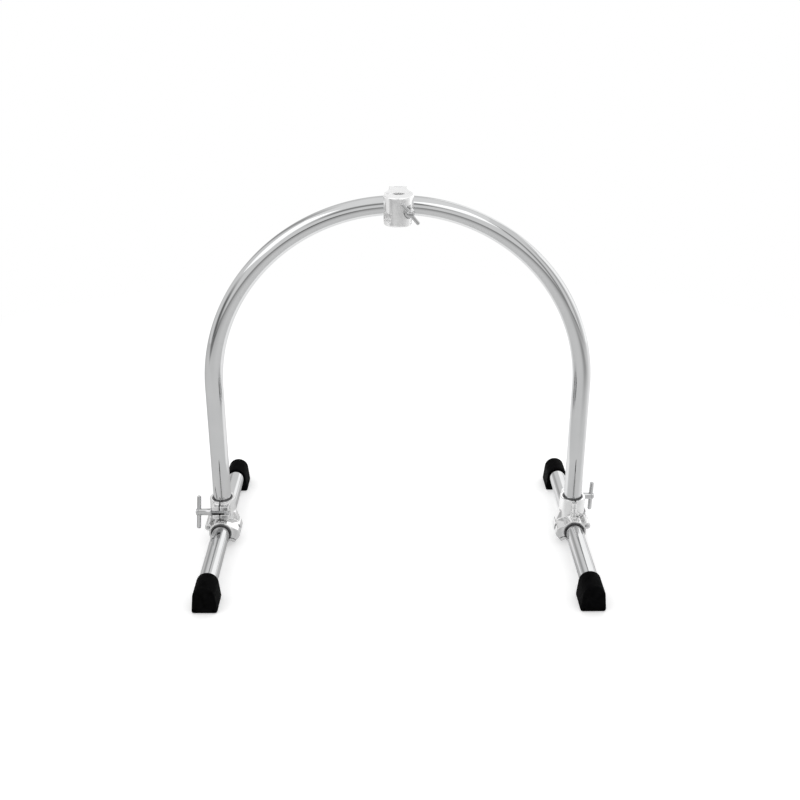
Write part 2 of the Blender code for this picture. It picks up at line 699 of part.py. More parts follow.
def make_clamp_body(side, parent):
    """Casting of a leg clamp: back half of the collar, upper half of the sleeve."""
    leg = leg_frame(side)
    frame = collar_frame(side)
    body = rod(frame, (0, 0, LEG_AXIS_HEIGHT + COLLAR_ROOT), (0, 0, COLLAR_TOP), COLLAR_RADIUS)
    soften(body, RIM_ROUNDING)
    split = -SPLIT_OFFSET + SPLIT_GAP / 2
    ear_low, ear_high = COLLAR_FLOOR + EAR_MARGIN, COLLAR_TOP - EAR_MARGIN
    ear = ear_outline(-SPLIT_OFFSET, PIVOT_OFFSET + EYE_RADIUS + EAR_BACKING, False)
    join(body, plate(frame, ear, ear_low, ear_high))
    cut(body, block(frame, (-FAR, -FAR, COLLAR_FLOOR), (split, FAR, FAR)))
    join(body, rod(leg, (0, -SLEEVE_FRONT, 0), (0, SLEEVE_REAR, 0), SLEEVE_RADIUS),
         sleeve_lug(leg), gusset(leg))
    cut(body, half_plane(leg, -SPLIT_GAP / 2, 1))
    seat = COLLAR_RADIUS + 2 * CLEARANCE
    cut(body, block(frame, (-FAR, -seat, COLLAR_FLOOR - CASTING_STEP),
                    (split - CASTING_STEP, seat, FAR)))
    join(body, leg_knuckle(leg, SLEEVE_FRONT, LEG_KNUCKLE_FRONT + CLEARANCE),
         leg_knuckle(leg, LEG_KNUCKLE_REAR - CLEARANCE, -SLEEVE_REAR))
    cut(body, leg_knuckle(leg, LEG_KNUCKLE_FRONT, LEG_KNUCKLE_REAR, CLEARANCE))
    low, high = upright_knuckle_span()
    sunk, top = COLLAR_FLOOR - BARREL_SINK, COLLAR_TOP - BARREL_DROP
    join(body, knuckle(frame, sunk, low), knuckle_web(frame, sunk, low, 1),
         knuckle(frame, high, top), knuckle_web(frame, high, top, 1))
    cut(body, knuckle(frame, low, high, KNUCKLE_GAP), fork_slot(frame, EYE_RADIUS + CLEARANCE))
    pin_bore = bolt_clearance(HINGE_PIN_RADIUS)
    cut(body, rod(frame, (PIVOT_OFFSET, -BOLT_REACH, ear_low - OVERLAP),
                  (PIVOT_OFFSET, -BOLT_REACH, FAR), pin_bore, SMALL_SIDES),
        rod(frame, (0, HINGE_REACH, COLLAR_FLOOR + PIN_FLOOR - CLEARANCE),
            (0, HINGE_REACH, FAR), pin_bore, SMALL_SIDES),
        rod(frame, (0, 0, COLLAR_FLOOR), (0, 0, FAR), COLLAR_BORE),
        rod(leg, (0, -FAR, 0), (0, FAR, 0), COLLAR_BORE), leg_hinge_bore(leg))
    low_end, seat, high_end = [section_to_space(split_point(LUG_BOLT_REACH, drop), LUG_BOLT_FORWARD)
                               for drop in (LUG_REACH, KEY_NUT_HEIGHT - body_lug_top(), -FAR)]
    cut(body, rod(leg, low_end, high_end, bolt_clearance(KEY_BOLT_RADIUS), SMALL_SIDES),
        rod(leg, seat, high_end, KEY_NUT_RADIUS + 2 * CLEARANCE, MEDIUM_SIDES))
    return part(body, name_of(side, "clamp_body"), "chrome", parent)


def make_upright_jaw(side, parent):
    """The hinged outboard half of the collar round an end of the arch."""
    frame = collar_frame(side)
    bottom = COLLAR_FLOOR + CLEARANCE
    jaw = rod(frame, (0, 0, bottom), (0, 0, COLLAR_TOP), COLLAR_RADIUS)
    soften(jaw, RIM_ROUNDING)
    split = -SPLIT_OFFSET - SPLIT_GAP / 2
    ear_low, ear_high = COLLAR_FLOOR + EAR_MARGIN, COLLAR_TOP - EAR_MARGIN
    ear = ear_outline(split - EAR_LENGTH, -SPLIT_OFFSET, True)
    join(jaw, plate(frame, ear, ear_low, ear_high))
    cut(jaw, block(frame, (split, -FAR, -FAR), (FAR, FAR, FAR)))
    low, high = upright_knuckle_span()
    join(jaw, knuckle(frame, low + CLEARANCE, high - CLEARANCE),
         knuckle_web(frame, low + CLEARANCE, high - CLEARANCE, -1))
    cut(jaw, knuckle(frame, -FAR, low, KNUCKLE_GAP), knuckle(frame, high, FAR, KNUCKLE_GAP))
    cut(jaw, fork_slot(frame, EYE_RADIUS + CLEARANCE))
    cut(jaw, rod(frame, (0, 0, -FAR), (0, 0, FAR), COLLAR_BORE),
        rod(frame, (0, HINGE_REACH, -FAR), (0, HINGE_REACH, FAR),
            bolt_clearance(HINGE_PIN_RADIUS), SMALL_SIDES))
    return part(jaw, name_of(side, "upright_jaw"), "chrome", parent)


def make_pins(side, parent):
    """The pins of the collar's hinge, of the swing bolt and of the sleeve's hinge."""
    frame = collar_frame(side)
    pin = rod(frame, (0, HINGE_REACH, COLLAR_FLOOR + PIN_FLOOR),
              (0, HINGE_REACH, COLLAR_TOP + PIN_STAND), HINGE_PIN_RADIUS, SMALL_SIDES)
    part(pin, name_of(side, "upright_hinge_pin"), "steel", parent)
    low = COLLAR_FLOOR + EAR_MARGIN - CASTING_STEP
    high = COLLAR_TOP - EAR_MARGIN + PIN_STAND
    axle = rod(frame, (PIVOT_OFFSET, -BOLT_REACH, low), (PIVOT_OFFSET, -BOLT_REACH, high),
               HINGE_PIN_RADIUS, SMALL_SIDES)
    part(axle, name_of(side, "bolt_pivot_pin"), "steel", parent)
    leg = leg_frame(side)
    at = leg_hinge_point()
    long_pin = rod(leg, (at[0], -SLEEVE_FRONT - LEG_PIN_STAND, at[1]),
                   (at[0], SLEEVE_REAR + LEG_PIN_STAND, at[1]), LEG_PIN_RADIUS, SMALL_SIDES)
    part(long_pin, name_of(side, "sleeve_hinge_pin"), "steel", parent)


def swing_bolt(frame, pivot_at, tip, name, parent, up):
    """An eye bolt from its pivot to its tip; up is the pivot's axis."""
    pivot_at, tip, up = Vector(pivot_at), Vector(tip), Vector(up)
    half = up * (EYE_HEIGHT / 2)
    eye = rod(frame, pivot_at - half, pivot_at + half, EYE_RADIUS, MEDIUM_SIDES)
    along = (tip - pivot_at).normalized()
    join(eye, rod(frame, pivot_at + along * HINGE_PIN_RADIUS, tip, BOLT_RADIUS, SMALL_SIDES))
    cut(eye, rod(frame, pivot_at - up * FAR, pivot_at + up * FAR,
                 bolt_clearance(HINGE_PIN_RADIUS), SMALL_SIDES))
    return part(eye, name, "steel", parent)


def washer(frame, start, along, bore, radius, thickness, name, parent):
    start, along = Vector(start), Vector(along)
    profile = [(radius, thickness), (radius, 0), (bore, 0), (bore, thickness)]
    return part(turned(frame, start, start + along, profile, MEDIUM_SIDES), name, "steel", parent)


def t_handle(frame, start, along, length, bar, across, names, parent):
    """A T-nut and its cross bar; bar holds the bar's radius, length and end distance."""
    start, along, across = Vector(start), Vector(along), Vector(across)
    bar_radius, bar_length, from_end = bar
    bore = bolt_clearance(BOLT_RADIUS)
    depth = length - from_end - bar_radius - NUT_BORE_WALL
    profile = dome(NUT_RADIUS - NUT_TAPER, length, NUT_CROWN_DROP)
    profile += [(NUT_RADIUS, length - NUT_SHOULDER),
                (NUT_RADIUS - NUT_TAPER, length * NUT_WAIST_SHARE),
                (NUT_RADIUS - NUT_NECK, NUT_NECK_HEIGHT), (NUT_RADIUS, NUT_FOOT_HEIGHT),
                (NUT_RADIUS, 0), (bore, 0), (bore, depth), (0, depth)]
    nut = turned(frame, start, start + along, profile, MEDIUM_SIDES)
    centre = start + along * (length - from_end)
    cut(nut, rod(frame, centre - across * FAR, centre + across * FAR,
                 bar_radius + CLEARANCE / 2, MEDIUM_SIDES))
    part(nut, names[0], "chrome", parent)
    half = bar_length / 2
    ends = dome(bar_radius, bar_length, bar_radius * BAR_END_SHARE)
    ends += [(radius, bar_length - height) for radius, height in reversed(ends)]
    cross = turned(frame, centre - across * half, centre + across * half, ends, SMALL_SIDES)
    part(cross, names[1], "chrome", parent)


def key_bolt(frame, start, along, tip, names, nut_at, bodies):
    """A square-headed bolt with its washer; start is the washer's bearing face."""
    start, along = Vector(start), Vector(along)
    clamp, washer_body, bolt_body = bodies
    washer(frame, start, along, bolt_clearance(KEY_BOLT_RADIUS), KEY_WASHER_RADIUS,
           KEY_WASHER_THICKNESS, names[0], washer_body)
    under = start + along * (KEY_WASHER_THICKNESS + CLEARANCE)
    head = rod(frame, under, under + along * KEY_HEAD_HEIGHT, KEY_HEAD_WIDTH / sqrt(2), 4)
    join(head, rod(frame, tip, under + along * KEY_SHANK_OVERLAP, KEY_BOLT_RADIUS, SMALL_SIDES))
    part(head, names[1], "steel", bolt_body)
    nut = rod(frame, nut_at, Vector(nut_at) - along * KEY_NUT_HEIGHT, KEY_NUT_RADIUS, 6)
    cut(nut, rod(frame, start + along * FAR, start - along * FAR,
                 bolt_clearance(KEY_BOLT_RADIUS) - KEY_THREAD_FIT, SMALL_SIDES))
    part(nut, names[2], "steel", clamp)


def make_bushes(side, upright_parent, leg_parent):
    """Split nylon liners in the collar and in the sleeve."""
    frame = collar_frame(side)
    length = COLLAR_HEIGHT - CLEARANCE
    liner = turned(frame, (0, 0, COLLAR_TOP), (0, 0, 0), bush_profile(length), WIDE_SIDES)
    gap = SPLIT_GAP / 2
    cut(liner, block(frame, (-SPLIT_OFFSET - gap, -FAR, -FAR), (-SPLIT_OFFSET + gap, 0, FAR)))
    part(liner, name_of(side, "upright_bush"), "nylon", upright_parent)
    leg = leg_frame(side)
    length = SLEEVE_FRONT + SLEEVE_REAR
    liner = turned(leg, (0, -SLEEVE_FRONT, 0), (0, 0, 0), bush_profile(length), WIDE_SIDES)
    slit = [split_point(0, -gap), split_point(FAR, -gap), split_point(FAR, gap),
            split_point(0, gap)]
    cut(liner, plate(leg, slit, -FAR, FAR, "Y"))
    part(liner, name_of(side, "leg_bush"), "nylon", leg_parent)


def make_leg(side, parent):
    """A leg tube with a rubber foot on each end."""
    frame = leg_frame(side) @ Matrix.Translation((0, -ARCH_OFFSET, 0))
    end = LEG_HALF_LENGTH - FOOT_END_WALL
    x = side * ARC_RADIUS
    points = [(x, -end, LEG_AXIS_HEIGHT), (x, end, LEG_AXIS_HEIGHT)]
    part(tube("leg", points), name_of(side, "leg_tube"), "chrome", parent)
    make_foot(name_of(side, "front_foot"), frame, -1, parent)
    make_foot(name_of(side, "rear_foot"), frame, 1, parent)


def make_side(side, arch):
    """One leg with its clamp and everything on it."""
    frame, leg = collar_frame(side), leg_frame(side)
    middle = frame @ Vector((0, 0, COLLAR_MIDDLE))
    upright_bush = pivot(name_of(side, "upright_slide"), middle, arch)
    floor = frame @ Vector((0, 0, COLLAR_FLOOR))
    clamp = pivot(name_of(side, "clamp_swivel"), floor, upright_bush)
    jaw = pivot(name_of(side, "jaw_hinge"), frame @ Vector((0, HINGE_REACH, COLLAR_MIDDLE)), clamp)
    leg_bush = pivot(name_of(side, "leg_roll"), leg.translation, clamp)
    leg_slide = pivot(name_of(side, "leg_slide"), leg.translation, leg_bush)
    hinge = section_to_space(leg_hinge_point(), 0)
    leg_jaw = pivot(name_of(side, "sleeve_hinge"), leg @ Vector(hinge), clamp)
    make_clamp_body(side, clamp)
    make_pins(side, clamp)
    make_upright_jaw(side, jaw)
    make_sleeve_jaw(side, leg_jaw)
    make_bushes(side, upright_bush, leg_bush)
    make_leg(side, leg_slide)
    make_t_bolt(side, clamp)
    make_sleeve_bolt(side, clamp)


def make_t_bolt(side, clamp):
    """The swing bolt that closes the collar, with its washer and T-nut."""
    frame = collar_frame(side)
    outward = Vector((-1, 0, 0))
    bolt_at = Vector((PIVOT_OFFSET, -BOLT_REACH, COLLAR_MIDDLE))
    bolt = pivot(name_of(side, "bolt_pivot"), frame @ bolt_at, clamp)
    seat = -SPLIT_OFFSET - SPLIT_GAP / 2 - EAR_LENGTH
    face = Vector((seat - CLEARANCE, -BOLT_REACH, COLLAR_MIDDLE))
    nut_at = face + outward * (WASHER_THICKNESS + CLEARANCE)
    reach = NUT_LENGTH - BAR_FROM_END - BAR_RADIUS - BOLT_END_GAP
    swing_bolt(frame, bolt_at, nut_at + outward * reach, name_of(side, "swing_bolt"), bolt, (0, 0, 1))
    ring = pivot(name_of(side, "washer_slide"), frame @ face, bolt)
    washer(frame, face, outward, bolt_clearance(BOLT_RADIUS), NUT_RADIUS, WASHER_THICKNESS,
           name_of(side, "t_nut_washer"), ring)
    nut = pivot(name_of(side, "t_nut_turn"), frame @ nut_at, ring)
    tilt = LEFT_BAR_TILT if side < 0 else RIGHT_BAR_TILT
    t_handle(frame, nut_at, outward, NUT_LENGTH, (BAR_RADIUS, BAR_LENGTH, BAR_FROM_END),
             (0, sin(tilt), cos(tilt)), (name_of(side, "t_nut"), name_of(side, "t_bar")), nut)


def make_sleeve_bolt(side, clamp):
    """The drum-key bolt that closes the sleeve."""
    leg = leg_frame(side)
    start = section_to_space(split_point(LUG_BOLT_REACH, key_bolt_start()), LUG_BOLT_FORWARD)
    along = Vector(section_to_space(split_point(0, 1), 0))
    nut_drop = KEY_NUT_HEIGHT - CLEARANCE - body_lug_top()
    nut_at = section_to_space(split_point(LUG_BOLT_REACH, nut_drop), LUG_BOLT_FORWARD)
    tip_drop = -body_lug_top() - KEY_TIP_STAND
    tip = section_to_space(split_point(LUG_BOLT_REACH, tip_drop), LUG_BOLT_FORWARD)
    ring = pivot(name_of(side, "key_washer_slide"), leg @ Vector(start), clamp)
    screw = pivot(name_of(side, "key_bolt_turn"), leg @ Vector(start), ring)
    names = [name_of(side, piece) for piece in ("key_washer", "key_bolt", "key_nut")]
    key_bolt(leg, start, along, tip, names, nut_at, (clamp, ring, screw))


def on_crown_hinge(across, radius, sides):
    """A rod on the rear hinge's axis between two distances across."""
    low, high = across
    return rod(CROWN, (low, CROWN_HINGE_BACK, CROWN_HINGE_UP),
               (high, CROWN_HINGE_BACK, CROWN_HINGE_UP), radius, sides)


def crown_knuckle(low, high, extra=0.0):
    return on_crown_hinge((low, high), CROWN_KNUCKLE_RADIUS + extra, MEDIUM_SIDES)


def crown_hinge_bore():
    return on_crown_hinge((-FAR, FAR), bolt_clearance(HINGE_PIN_RADIUS), SMALL_SIDES)


def on_post_hinge(low, high, radius, sides):
    """A rod on the post hinge's axis between two heights."""
    return rod(CROWN, (-POST_HINGE_SIDE, -POST_REACH, low), (-POST_HINGE_SIDE, -POST_REACH, high),
               radius, sides)


def on_post_pivot(low, high, radius):
    """A rod on the post bolt's pivot between two heights."""
    return rod(CROWN, (POST_HINGE_SIDE, -POST_PIVOT_REACH, low),
               (POST_HINGE_SIDE, -POST_PIVOT_REACH, high), radius, SMALL_SIDES)


def crown_ear(side):
    """An ear under the arch for the key bolt; side -1 is in front of the tube."""
    near, far = sorted((0, side * (SPLIT_GAP / 2 + CROWN_EAR_THICKNESS)))
    wide = CROWN_EAR_WIDTH / 2
    drop = CROWN_EAR_DROP + CROWN_EAR_END
    root = OVERLAP - CROWN_BORE
    outline = [(-wide, root), (-wide, -drop), (wide, -drop), (wide, root)]
    bends = [0, CROWN_EAR_ROUNDING, CROWN_EAR_ROUNDING, 0]
    return plate(CROWN, rounded(outline, bends), near, far, "Y")


def arc_run(radius):
    """A stretch of the arch at the crown, as a cutter with the given radius."""
    curve = bpy.data.curves.new("run", "CURVE")
    curve.dimensions = "3D"
    curve.bevel_depth = radius
    curve.bevel_resolution = ARC_RUN_SMOOTHNESS
    curve.use_fill_caps = True
    spline = curve.splines.new("POLY")
    spline.points.add(ARC_RUN_STEPS)
    for index, point in enumerate(spline.points):
        angle = ARC_RUN_TURN * (2 * index / ARC_RUN_STEPS - 1)
        point.co = (ARC_RADIUS * sin(angle), 0, ARC_RADIUS * (cos(angle) - 1), 1)
    drawn = bpy.data.objects.new("run", curve)
    CUTTERS.objects.link(drawn)
    return guide(meshed(drawn), "run", CROWN)


def crown_plan():
    """Plan of the crown casting, from the post's split back to the arch."""
    split = -POST_REACH + SPLIT_GAP / 2
    waist = POST_SHELL_RADIUS - CROWN_WAIST_INSET
    rear = CROWN_HALF_WIDTH - CASTING_STEP
    plan = [(-waist, split), (waist, split), (waist, CROWN_WAIST_END), (rear, CROWN_NECK_END),
            (rear, 0), (-rear, 0), (-rear, CROWN_NECK_END), (-waist, CROWN_WAIST_END)]
    bend = CROWN_PLAN_ROUNDING
    return rounded(plan, [0, 0, bend, bend, 0, 0, bend, bend])


def make_crown_body(parent):
    """Casting between the arch and the post: half a collar on the tube, half a socket."""
    body = plate(CROWN, crown_plan(), CROWN_BOTTOM, CROWN_TOP)
    join(body, rod(CROWN, (-CROWN_HALF_WIDTH, 0, 0), (CROWN_HALF_WIDTH, 0, 0), CROWN_RADIUS),
         crown_ear(-1))
    cut(body, block(CROWN, (-FAR, -SPLIT_GAP / 2, -FAR), (FAR, FAR, FAR)))
    narrow = CROWN_HALF_WIDTH - 2 * CASTING_STEP
    join(body, plate(CROWN, CROWN_SADDLE, -narrow, narrow, "X"),
         crown_knuckle(-CROWN_HALF_WIDTH, CROWN_HALF_WIDTH))
    room = CROWN_KNUCKLE_GAP_AT
    pocket = CROWN_HINGE_BACK - CROWN_KNUCKLE_RADIUS - CROWN_POCKET_ROOM
    cut(body, block(CROWN, (-room, pocket, -FAR), (room, FAR, FAR)),
        rod(CROWN, (-FAR, 0, 0), (FAR, 0, 0), CROWN_BORE),
        rod(CROWN, (0, -POST_REACH, -FAR), (0, -POST_REACH, FAR), POST_BORE),
        crown_hinge_bore(),
        rod(CROWN, (0, -FAR, -CROWN_EAR_DROP), (0, FAR, -CROWN_EAR_DROP),
            bolt_clearance(KEY_BOLT_RADIUS), SMALL_SIDES))
    half = FORK_SLOT / 2
    eye_room = EYE_RADIUS + EYE_ROOM
    cut(body, block(CROWN, (POST_HINGE_SIDE - eye_room, -FAR, CROWN_MIDDLE - half),
                    (FAR, eye_room - POST_PIVOT_REACH, CROWN_MIDDLE + half)),
        on_post_pivot(CROWN_BOTTOM + POST_PIVOT_FLOOR, FAR, bolt_clearance(HINGE_PIN_RADIUS)))
    join_post_knuckles(body)
    return part(body, "crown_clamp_body", "chrome", parent)


def post_knuckle_span():
    """Heights of the post jaw's own knuckle between the two of the body."""
    third = (CROWN_TOP - CROWN_BOTTOM) / 3
    return CROWN_BOTTOM + third, CROWN_TOP - third


def post_knuckle(low, high, extra=0.0):
    return on_post_hinge(low, high, KNUCKLE_RADIUS + extra, MEDIUM_SIDES)


def post_hinge_bore():
    return on_post_hinge(-FAR, FAR, bolt_clearance(HINGE_PIN_RADIUS), SMALL_SIDES)


def join_post_knuckles(body):
    """The body's two knuckles for the post jaw, with room between them for the jaw's own."""
    low, high = post_knuckle_span()
    join(body, post_knuckle(CROWN_BOTTOM + CASTING_STEP, low),
         post_knuckle(high, CROWN_TOP - CASTING_STEP))
    room = (-POST_HINGE_SIDE - POST_KNUCKLE_CUT_SIDE, POST_KNUCKLE_CUT_BACK - POST_REACH,
            high - CASTING_STEP)
    cut(body, post_knuckle(low, high, KNUCKLE_GAP),
        block(CROWN, (-FAR, -FAR, low + CASTING_STEP), room), post_hinge_bore())


def make_post_jaw(parent):
    """The hinged front half of the post socket."""
    jaw = rod(CROWN, (0, -POST_SHELL_REACH, CROWN_BOTTOM), (0, -POST_SHELL_REACH, CROWN_TOP),
              POST_SHELL_RADIUS)
    soften(jaw, POST_RIM_ROUNDING)
    split = -POST_REACH - SPLIT_GAP / 2
    cut(jaw, block(CROWN, (-FAR, split, -FAR), (FAR, FAR, FAR)))
    low, high = post_knuckle_span()
    join(jaw, post_knuckle(low + CLEARANCE, high - CLEARANCE))
    cut(jaw, post_knuckle(-FAR, low, KNUCKLE_GAP), post_knuckle(high, FAR, KNUCKLE_GAP))
    for bottom, top in ((-FAR, low - CASTING_STEP), (high + CASTING_STEP, FAR)):
        cut(jaw, block(CROWN, (-FAR, -POST_REACH - POST_KNUCKLE_CUT_FRONT, bottom),
                       (-POST_HINGE_SIDE - POST_KNUCKLE_CUT_SIDE, FAR, top)))
    cut(jaw, rod(CROWN, (0, -POST_REACH, -FAR), (0, -POST_REACH, FAR), POST_BORE),
        post_hinge_bore())
    half = FORK_SLOT / 2
    slot_side = POST_HINGE_SIDE - BOLT_RADIUS - POST_BOLT_ROOM
    cut(jaw, block(CROWN, (slot_side, -FAR, CROWN_MIDDLE - half), (FAR, FAR, CROWN_MIDDLE + half)))
    seat_side = POST_HINGE_SIDE + POST_SEAT_SHIFT
    cut(jaw, rod(CROWN, (seat_side, -FAR, CROWN_MIDDLE),
                 (seat_side, -POST_SEAT_REACH, CROWN_MIDDLE), POST_SEAT_RADIUS),
        plate(CROWN, POST_RECESS, -FAR, -POST_REACH - POST_RECESS_START, "Y"))
    return part(jaw, "post_jaw", "chrome", parent)


def make_arch_jaw(parent):
    """The hinged rear half of the collar on the arch."""
    jaw = rod(CROWN, (-CROWN_HALF_WIDTH, 0, 0), (CROWN_HALF_WIDTH, 0, 0), CROWN_RADIUS)
    join(jaw, crown_ear(1))
    cut(jaw, block(CROWN, (-FAR, -FAR, -FAR), (FAR, SPLIT_GAP / 2, FAR)),
        plate(CROWN, ARCH_JAW_ROOF, -FAR, FAR, "X"))
    room = CROWN_KNUCKLE_GAP_AT - CLEARANCE
    own = room - 2 * CLEARANCE
    join(jaw, plate(CROWN, ARCH_JAW_ARM, -room, room, "X"), crown_knuckle(-own, own))
    cut(jaw, rod(CROWN, (-FAR, 0, 0), (FAR, 0, 0), CROWN_BORE))
    for side in (-1, 1):
        cut(jaw, crown_knuckle(side * (room + CLEARANCE), side * FAR, CLEARANCE))
    slot = KEY_SLOT_WIDTH / 2
    slot_top = KEY_BOLT_RADIUS + KEY_SLOT_ROOM - CROWN_EAR_DROP
    cut(jaw, crown_hinge_bore(), block(CROWN, (-slot, -FAR, -FAR), (slot, FAR, slot_top)))
    return part(jaw, "arch_jaw", "chrome", parent)


def make_arch_bush(parent):
    """Liner between arch and crown clamp: curved inside, straight outside."""
    end = CROWN_HALF_WIDTH - CLEARANCE
    liner = rod(CROWN, (-end, 0, 0), (end, 0, 0), CROWN_BUSH_RADIUS)
    cut(liner, arc_run(CROWN_BUSH_BORE))
    gap = SPLIT_GAP / 2
    cut(liner, block(CROWN, (-FAR, -gap, -FAR), (FAR, gap, 0)))
    return part(liner, "arch_bush", "nylon", parent)


def make_crown_clamp(arch):
    """The clamp on the arch's crown, which takes the post of other drums."""
    bush = pivot("crown_slide", (0, ARCH_OFFSET, ARC_CENTRE_HEIGHT), arch)
    clamp = pivot("crown_tilt", CROWN.translation, bush)
    rear_at = CROWN @ Vector((0, CROWN_HINGE_BACK, CROWN_HINGE_UP))
    rear = pivot("arch_jaw_hinge", rear_at, clamp)
    front_at = CROWN @ Vector((-POST_HINGE_SIDE, -POST_REACH, CROWN_MIDDLE))
    front = pivot("post_jaw_hinge", front_at, clamp)
    make_arch_bush(bush)
    make_crown_body(clamp)
    make_arch_jaw(rear)
    make_post_jaw(front)
    make_crown_pins(clamp)
    make_post_bolt(clamp)
    make_arch_bolt(clamp)


def make_post_bolt(clamp):
    """The swing bolt that closes the post jaw, with its washer and T-nut."""
    forward = Vector((0, -1, 0))
    bolt_at = Vector((POST_HINGE_SIDE, -POST_PIVOT_REACH, CROWN_MIDDLE))
    bolt = pivot("post_bolt_pivot", CROWN @ bolt_at, clamp)
    face = Vector((POST_HINGE_SIDE, -POST_SEAT_REACH - CLEARANCE, CROWN_MIDDLE))
    nut_at = face + forward * (WASHER_THICKNESS + CLEARANCE)
    reach = POST_NUT_LENGTH - POST_BAR_FROM_END - POST_BAR_RADIUS - BOLT_END_GAP
    swing_bolt(CROWN, bolt_at, nut_at + forward * reach, "post_swing_bolt", bolt, (0, 0, 1))
    ring = pivot("post_washer_slide", CROWN @ face, bolt)
    washer(CROWN, face, forward, bolt_clearance(BOLT_RADIUS), NUT_RADIUS, WASHER_THICKNESS,
           "post_t_nut_washer", ring)
    nut = pivot("post_t_nut_turn", CROWN @ nut_at, ring)
    bar = (POST_BAR_RADIUS, POST_BAR_LENGTH, POST_BAR_FROM_END)
    t_handle(CROWN, nut_at, forward, POST_NUT_LENGTH, bar,
             (cos(POST_BAR_TILT), 0, sin(POST_BAR_TILT)), ("post_t_nut", "post_t_bar"), nut)


def make_arch_bolt(clamp):
    """The drum-key bolt that closes the rear jaw on the arch."""
    ear = SPLIT_GAP / 2 + CROWN_EAR_THICKNESS + CLEARANCE
    start = Vector((0, ear, -CROWN_EAR_DROP))
    nut_face = (0, -ear, -CROWN_EAR_DROP)
    tip = (0, -ear - KEY_NUT_HEIGHT - CROWN_KEY_TIP_STAND, -CROWN_EAR_DROP)
    ring = pivot("arch_key_washer_slide", CROWN @ start, clamp)
    screw = pivot("arch_key_bolt_turn", CROWN @ start, ring)
    key_bolt(CROWN, start, (0, 1, 0), tip, ("arch_key_washer", "arch_key_bolt", "arch_key_nut"),
             nut_face, (clamp, ring, screw))


def make_crown_pins(clamp):
    """The pins of the rear hinge, of the post hinge and of the post bolt."""
    end = CROWN_HALF_WIDTH + PIN_STAND
    part(on_crown_hinge((-end, end), HINGE_PIN_RADIUS, SMALL_SIDES),
         "arch_jaw_hinge_pin", "steel", clamp)
    part(on_post_hinge(CROWN_BOTTOM, CROWN_TOP, HINGE_PIN_RADIUS, SMALL_SIDES),
         "post_jaw_hinge_pin", "steel", clamp)
    foot = CROWN_BOTTOM + POST_PIVOT_FLOOR + CLEARANCE
    part(on_post_pivot(foot, CROWN_TOP, HINGE_PIN_RADIUS), "post_bolt_pivot_pin", "steel", clamp)


def build():
    arch = make_arch()
    make_side(-1, arch)
    make_side(1, arch)
    make_crown_clamp(arch)


build()
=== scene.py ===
"""Looks of the drum docking frame: smooth castings, tubes, boots and a white studio.

The sizes repeat the ones of the solids, in metres; +X is to the audience's right.
"""
import json
from math import acos, atan2, cos, pi, radians, sin, sqrt

import bmesh
import bpy
from mathutils import Matrix, Vector

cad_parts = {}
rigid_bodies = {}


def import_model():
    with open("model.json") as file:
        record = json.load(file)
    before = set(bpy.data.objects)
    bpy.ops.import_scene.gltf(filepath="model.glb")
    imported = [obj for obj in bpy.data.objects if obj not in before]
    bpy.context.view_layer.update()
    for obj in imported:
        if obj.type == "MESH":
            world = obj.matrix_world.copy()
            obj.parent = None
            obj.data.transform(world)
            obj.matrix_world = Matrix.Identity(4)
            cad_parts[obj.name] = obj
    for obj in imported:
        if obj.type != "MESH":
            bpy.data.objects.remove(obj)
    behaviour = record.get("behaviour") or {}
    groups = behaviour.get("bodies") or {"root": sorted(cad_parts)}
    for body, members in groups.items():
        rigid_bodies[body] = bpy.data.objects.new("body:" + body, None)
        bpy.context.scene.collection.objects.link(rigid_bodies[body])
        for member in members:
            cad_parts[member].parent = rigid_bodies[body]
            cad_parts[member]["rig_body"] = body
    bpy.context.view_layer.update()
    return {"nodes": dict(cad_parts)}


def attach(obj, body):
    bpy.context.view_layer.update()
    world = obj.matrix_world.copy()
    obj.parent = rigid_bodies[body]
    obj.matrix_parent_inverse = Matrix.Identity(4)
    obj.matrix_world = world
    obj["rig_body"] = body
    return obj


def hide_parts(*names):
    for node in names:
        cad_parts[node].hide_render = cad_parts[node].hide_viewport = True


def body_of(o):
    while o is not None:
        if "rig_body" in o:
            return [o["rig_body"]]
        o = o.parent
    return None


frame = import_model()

# Tube and fits
TUBE_RADIUS = 0.01905
TUBE_WALL = 0.002
CLEARANCE = 0.0003
BUSH_WALL = 0.002
BUSH_FLANGE = 0.0004
BUSH_FLANGE_HEIGHT = 0.0008
BUSH_EASE = 0.0004
SPLIT_GAP = 0.0024
CASTING_STEP = 0.0004
PAST = 0.001  # how far a solid or a cutter reaches past a face

# Arch
ARC_RADIUS = 0.385
ARC_CENTRE_HEIGHT = 0.3604
ARCH_OFFSET = 0.018
ARC_RUN_CLEARANCE = 0.0006

# Legs and feet
LEG_AXIS_HEIGHT = 0.0354
LEG_HALF_LENGTH = 0.2815
FOOT_LENGTH = 0.0605
FOOT_END_WALL = 0.0125
FOOT_WALL = 0.0035
SOLE_WIDTH = 0.0525
FOOT_ROUNDING = 0.005
TREAD_DEPTH = 0.0015
TREAD_WIDTH = 0.004
TREAD_PITCH = 0.013
MOUTH_EASE = 0.0008
MOUTH_FLAT = 0.0009
END_RIM = 0.004
END_SLOPE = 0.0012
END_RECESS = 0.0008

